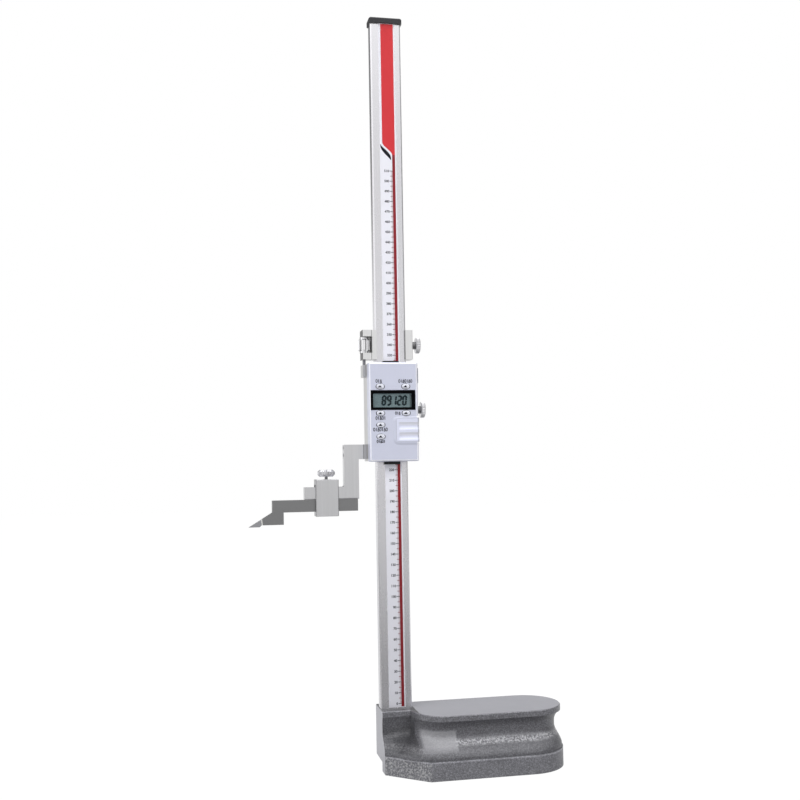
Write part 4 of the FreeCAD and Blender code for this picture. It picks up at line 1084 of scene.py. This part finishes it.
class GAUGE_OT_studio(MakesPieces):
    """A pale floor, soft lamps, a white surround and the camera"""

    bl_idname = "gauge.studio"
    bl_label = "Floor, light and camera"

    # Light that the floor sends into reflections, at each Y in metres
    floor_levels = (
        (-6.0, 0.68), (-2.4, 0.66), (-1.1, 0.56), (-0.6, 0.28), (-0.15, 0.26), (0.1, 0.8), (6.0, 0.95))
    # Light of the surround at each Z of a direction: in front, behind, and as it falls on rough surfaces
    front_levels = (
        (-0.5, 0.66), (0.0, 0.7), (0.07, 0.84), (0.15, 0.95), (0.21, 0.82), (0.26, 0.58),
        (0.31, 0.57), (0.35, 1.0), (0.42, 1.4), (0.5, 1.1), (0.7, 0.95), (1.0, 0.8))
    back_levels = (
        (-0.5, 0.9), (0.13, 0.95), (0.2, 0.5), (0.27, 0.22), (0.5, 0.25), (0.8, 0.5), (1.0, 0.8))
    diffuse_levels = ((-0.2, 0.22), (0.1, 0.3), (0.6, 0.7), (1.0, 0.9))
    # Each lamp's name, place, width, height and power in watts
    lamp_table = (
        ("left lamp", (-1.7, -1.0, 1.1), 1.2, 1.4, 23.5),
        ("top lamp", (0.2, -0.5, 2.3), 1.6, 1.2, 22.0),
        ("right lamp", (1.3, -1.3, 1.3), 1.0, 1.2, 12.5),
        ("back lamp", (0.6, 1.9, 1.2), 1.6, 1.4, 18.0),
    )
    lamp_target = Vector((0.0, 0.0, 0.3))
    camera_place = (-0.20133, -0.97960, 0.28401)
    floor_half_width = 6.0
    floor_drop = 0.05 * MM

    def make(self, scene):
        self.floor()
        self.surround(scene)
        self.lamps(scene)
        self.camera(scene)

    def floor(self):
        shape = bmesh.new()
        bmesh.ops.create_grid(shape, x_segments=8, y_segments=8, size=self.floor_half_width)
        bmesh.ops.translate(shape, verts=shape.verts, vec=(0, 0, -self.floor_drop))
        mesh = bpy.data.meshes.new("floor")
        shape.to_mesh(mesh)
        shape.free()
        floor = placed("floor", mesh)
        finish = Finish("pale floor")
        level = finish.through(finish.along("Y"), self.floor_levels)
        pale = finish.add("ShaderNodeBsdfDiffuse", None, {"Color": (0.42, 0.42, 0.43, 1.0)})
        white = finish.add("ShaderNodeEmission", None, {"Color": WHITE, "Strength": 1.08})
        dim = finish.add("ShaderNodeEmission", None, {"Color": WHITE, "Strength": level})
        shown = finish.add("ShaderNodeMixShader", None, {0: finish.ray("Camera") * 0.9, 1: pale, 2: white})
        both = finish.add("ShaderNodeMixShader", None, {0: finish.ray("Glossy") * 0.95, 1: shown, 2: dim})
        mesh.materials.append(finish.ended(both))

    def surround(self, scene):
        """White to the camera; in reflections, a studio with soft boxes at the left and overhead."""
        world = bpy.data.worlds.new("white surround")
        world.use_nodes = True
        scene.world = world
        finish = Finish("white surround", world.node_tree)
        toward = finish.add("ShaderNodeTexCoord", out="Generated")
        x, y, z = [finish.add("ShaderNodeSeparateXYZ", None, {0: toward}, out=axis) for axis in "XYZ"]
        front = finish.through(z, self.front_levels)
        back = finish.through(z, self.back_levels)
        behind = finish.between(y, 0.1, 0.6)
        left_box = finish.between(x, -0.78, -0.9) * finish.between(z, 0.75, 0.55)
        top_box = finish.between(z, 0.82, 0.9) * finish.between(y, 0.1, -0.1)
        right_side = finish.between(x, 0.7, 0.9)
        rightward = finish.between(x, 0.185, 0.205) * (1.0 - behind) * finish.between(z, 0.0, 0.1)
        mirror_level = (front + behind * (back - front)) * (1.0 - right_side * 0.55) * (1.0 + rightward * 0.1)
        mirror_level = mirror_level + left_box * 0.35 + top_box * 1.3
        diffuse_level = finish.through(z, self.diffuse_levels)
        level = diffuse_level + finish.ray("Glossy") * (mirror_level - diffuse_level)
        level = level + finish.ray("Camera").most(finish.ray("Transmission")) * (1.0 - level)
        backdrop = finish.add("ShaderNodeBackground", None, {"Color": WHITE, "Strength": level})
        finish.add("ShaderNodeOutputWorld", None, {"Surface": backdrop}, out=None)

    def lamps(self, scene):
        """Soft lamps round the gauge; reflections see the surround instead of them."""
        for name, place, width, height, power in self.lamp_table:
            lamp = bpy.data.lights.new(name, "AREA")
            lamp.shape = "RECTANGLE"
            lamp.size = width
            lamp.size_y = height
            lamp.energy = power * scene.gauge_studio.lamp_level
            holder = placed(name, lamp)
            holder.location = place
            aim = self.lamp_target - Vector(place)
            holder.rotation_euler = aim.to_track_quat("-Z", "Y").to_euler()
            holder.visible_glossy = False

    def camera(self, scene):
        choice = scene.gauge_studio
        turn = Matrix.Rotation(-choice.yaw, 4, "Z") @ Matrix.Rotation(math.pi / 2 + choice.pitch, 4, "X")
        turn = turn @ Matrix.Rotation(choice.roll, 4, "Z")
        view = bpy.data.cameras.new("camera")
        view.sensor_fit = "HORIZONTAL"
        view.sensor_width = 36.0
        view.lens = choice.focal_length
        view.clip_start = 0.01
        view.clip_end = 50.0
        holder = placed("camera", view)
        holder.matrix_world = Matrix.Translation(self.camera_place) @ turn
        scene.camera = holder
        scene.view_settings.view_transform = "Standard"


class GAUGE_PT_panel(bpy.types.Panel):
    """Lists the gauge's operators and settings"""

    bl_idname = "GAUGE_PT_panel"
    bl_label = "Height gauge"
    bl_space_type = "VIEW_3D"
    bl_region_type = "UI"
    bl_category = "Height gauge"

    def draw(self, context):
        for operator in OPERATORS:
            self.layout.operator(operator.bl_idname)
        for settings in SETTINGS:
            group = getattr(context.scene, settings)
            box = self.layout.box()
            for key in group.bl_rna.properties.keys():
                if key not in ("rna_type", "name"):
                    box.prop(group, key)


SETTINGS = {
    "gauge_base": BaseSettings,
    "gauge_scale": ScaleSettings,
    "gauge_housing": HousingSettings,
    "gauge_studio": StudioSettings,
}

OPERATORS = (
    GAUGE_OT_studio,
    GAUGE_OT_base,
    GAUGE_OT_beam,
    GAUGE_OT_scale,
    GAUGE_OT_slider,
    GAUGE_OT_adjuster,
    GAUGE_OT_arm,
    GAUGE_OT_housing,
    GAUGE_OT_display,
    GAUGE_OT_buttons,
)

CLASSES = (*SETTINGS.values(), *OPERATORS, GAUGE_PT_panel)


def register():
    for kind in CLASSES:
        bpy.utils.register_class(kind)
    for name, group in SETTINGS.items():
        setattr(bpy.types.Scene, name, bpy.props.PointerProperty(type=group))


def unregister():
    for name in SETTINGS:
        delattr(bpy.types.Scene, name)
    for kind in reversed(CLASSES):
        bpy.utils.unregister_class(kind)


def main():
    register()
    for operator in OPERATORS:
        group, name = operator.bl_idname.split(".")
        result = getattr(getattr(bpy.ops, group), name)()
        if "FINISHED" not in result:
            raise RuntimeError(operator.bl_label + " did not finish")


if __name__ == "__main__":
    main()
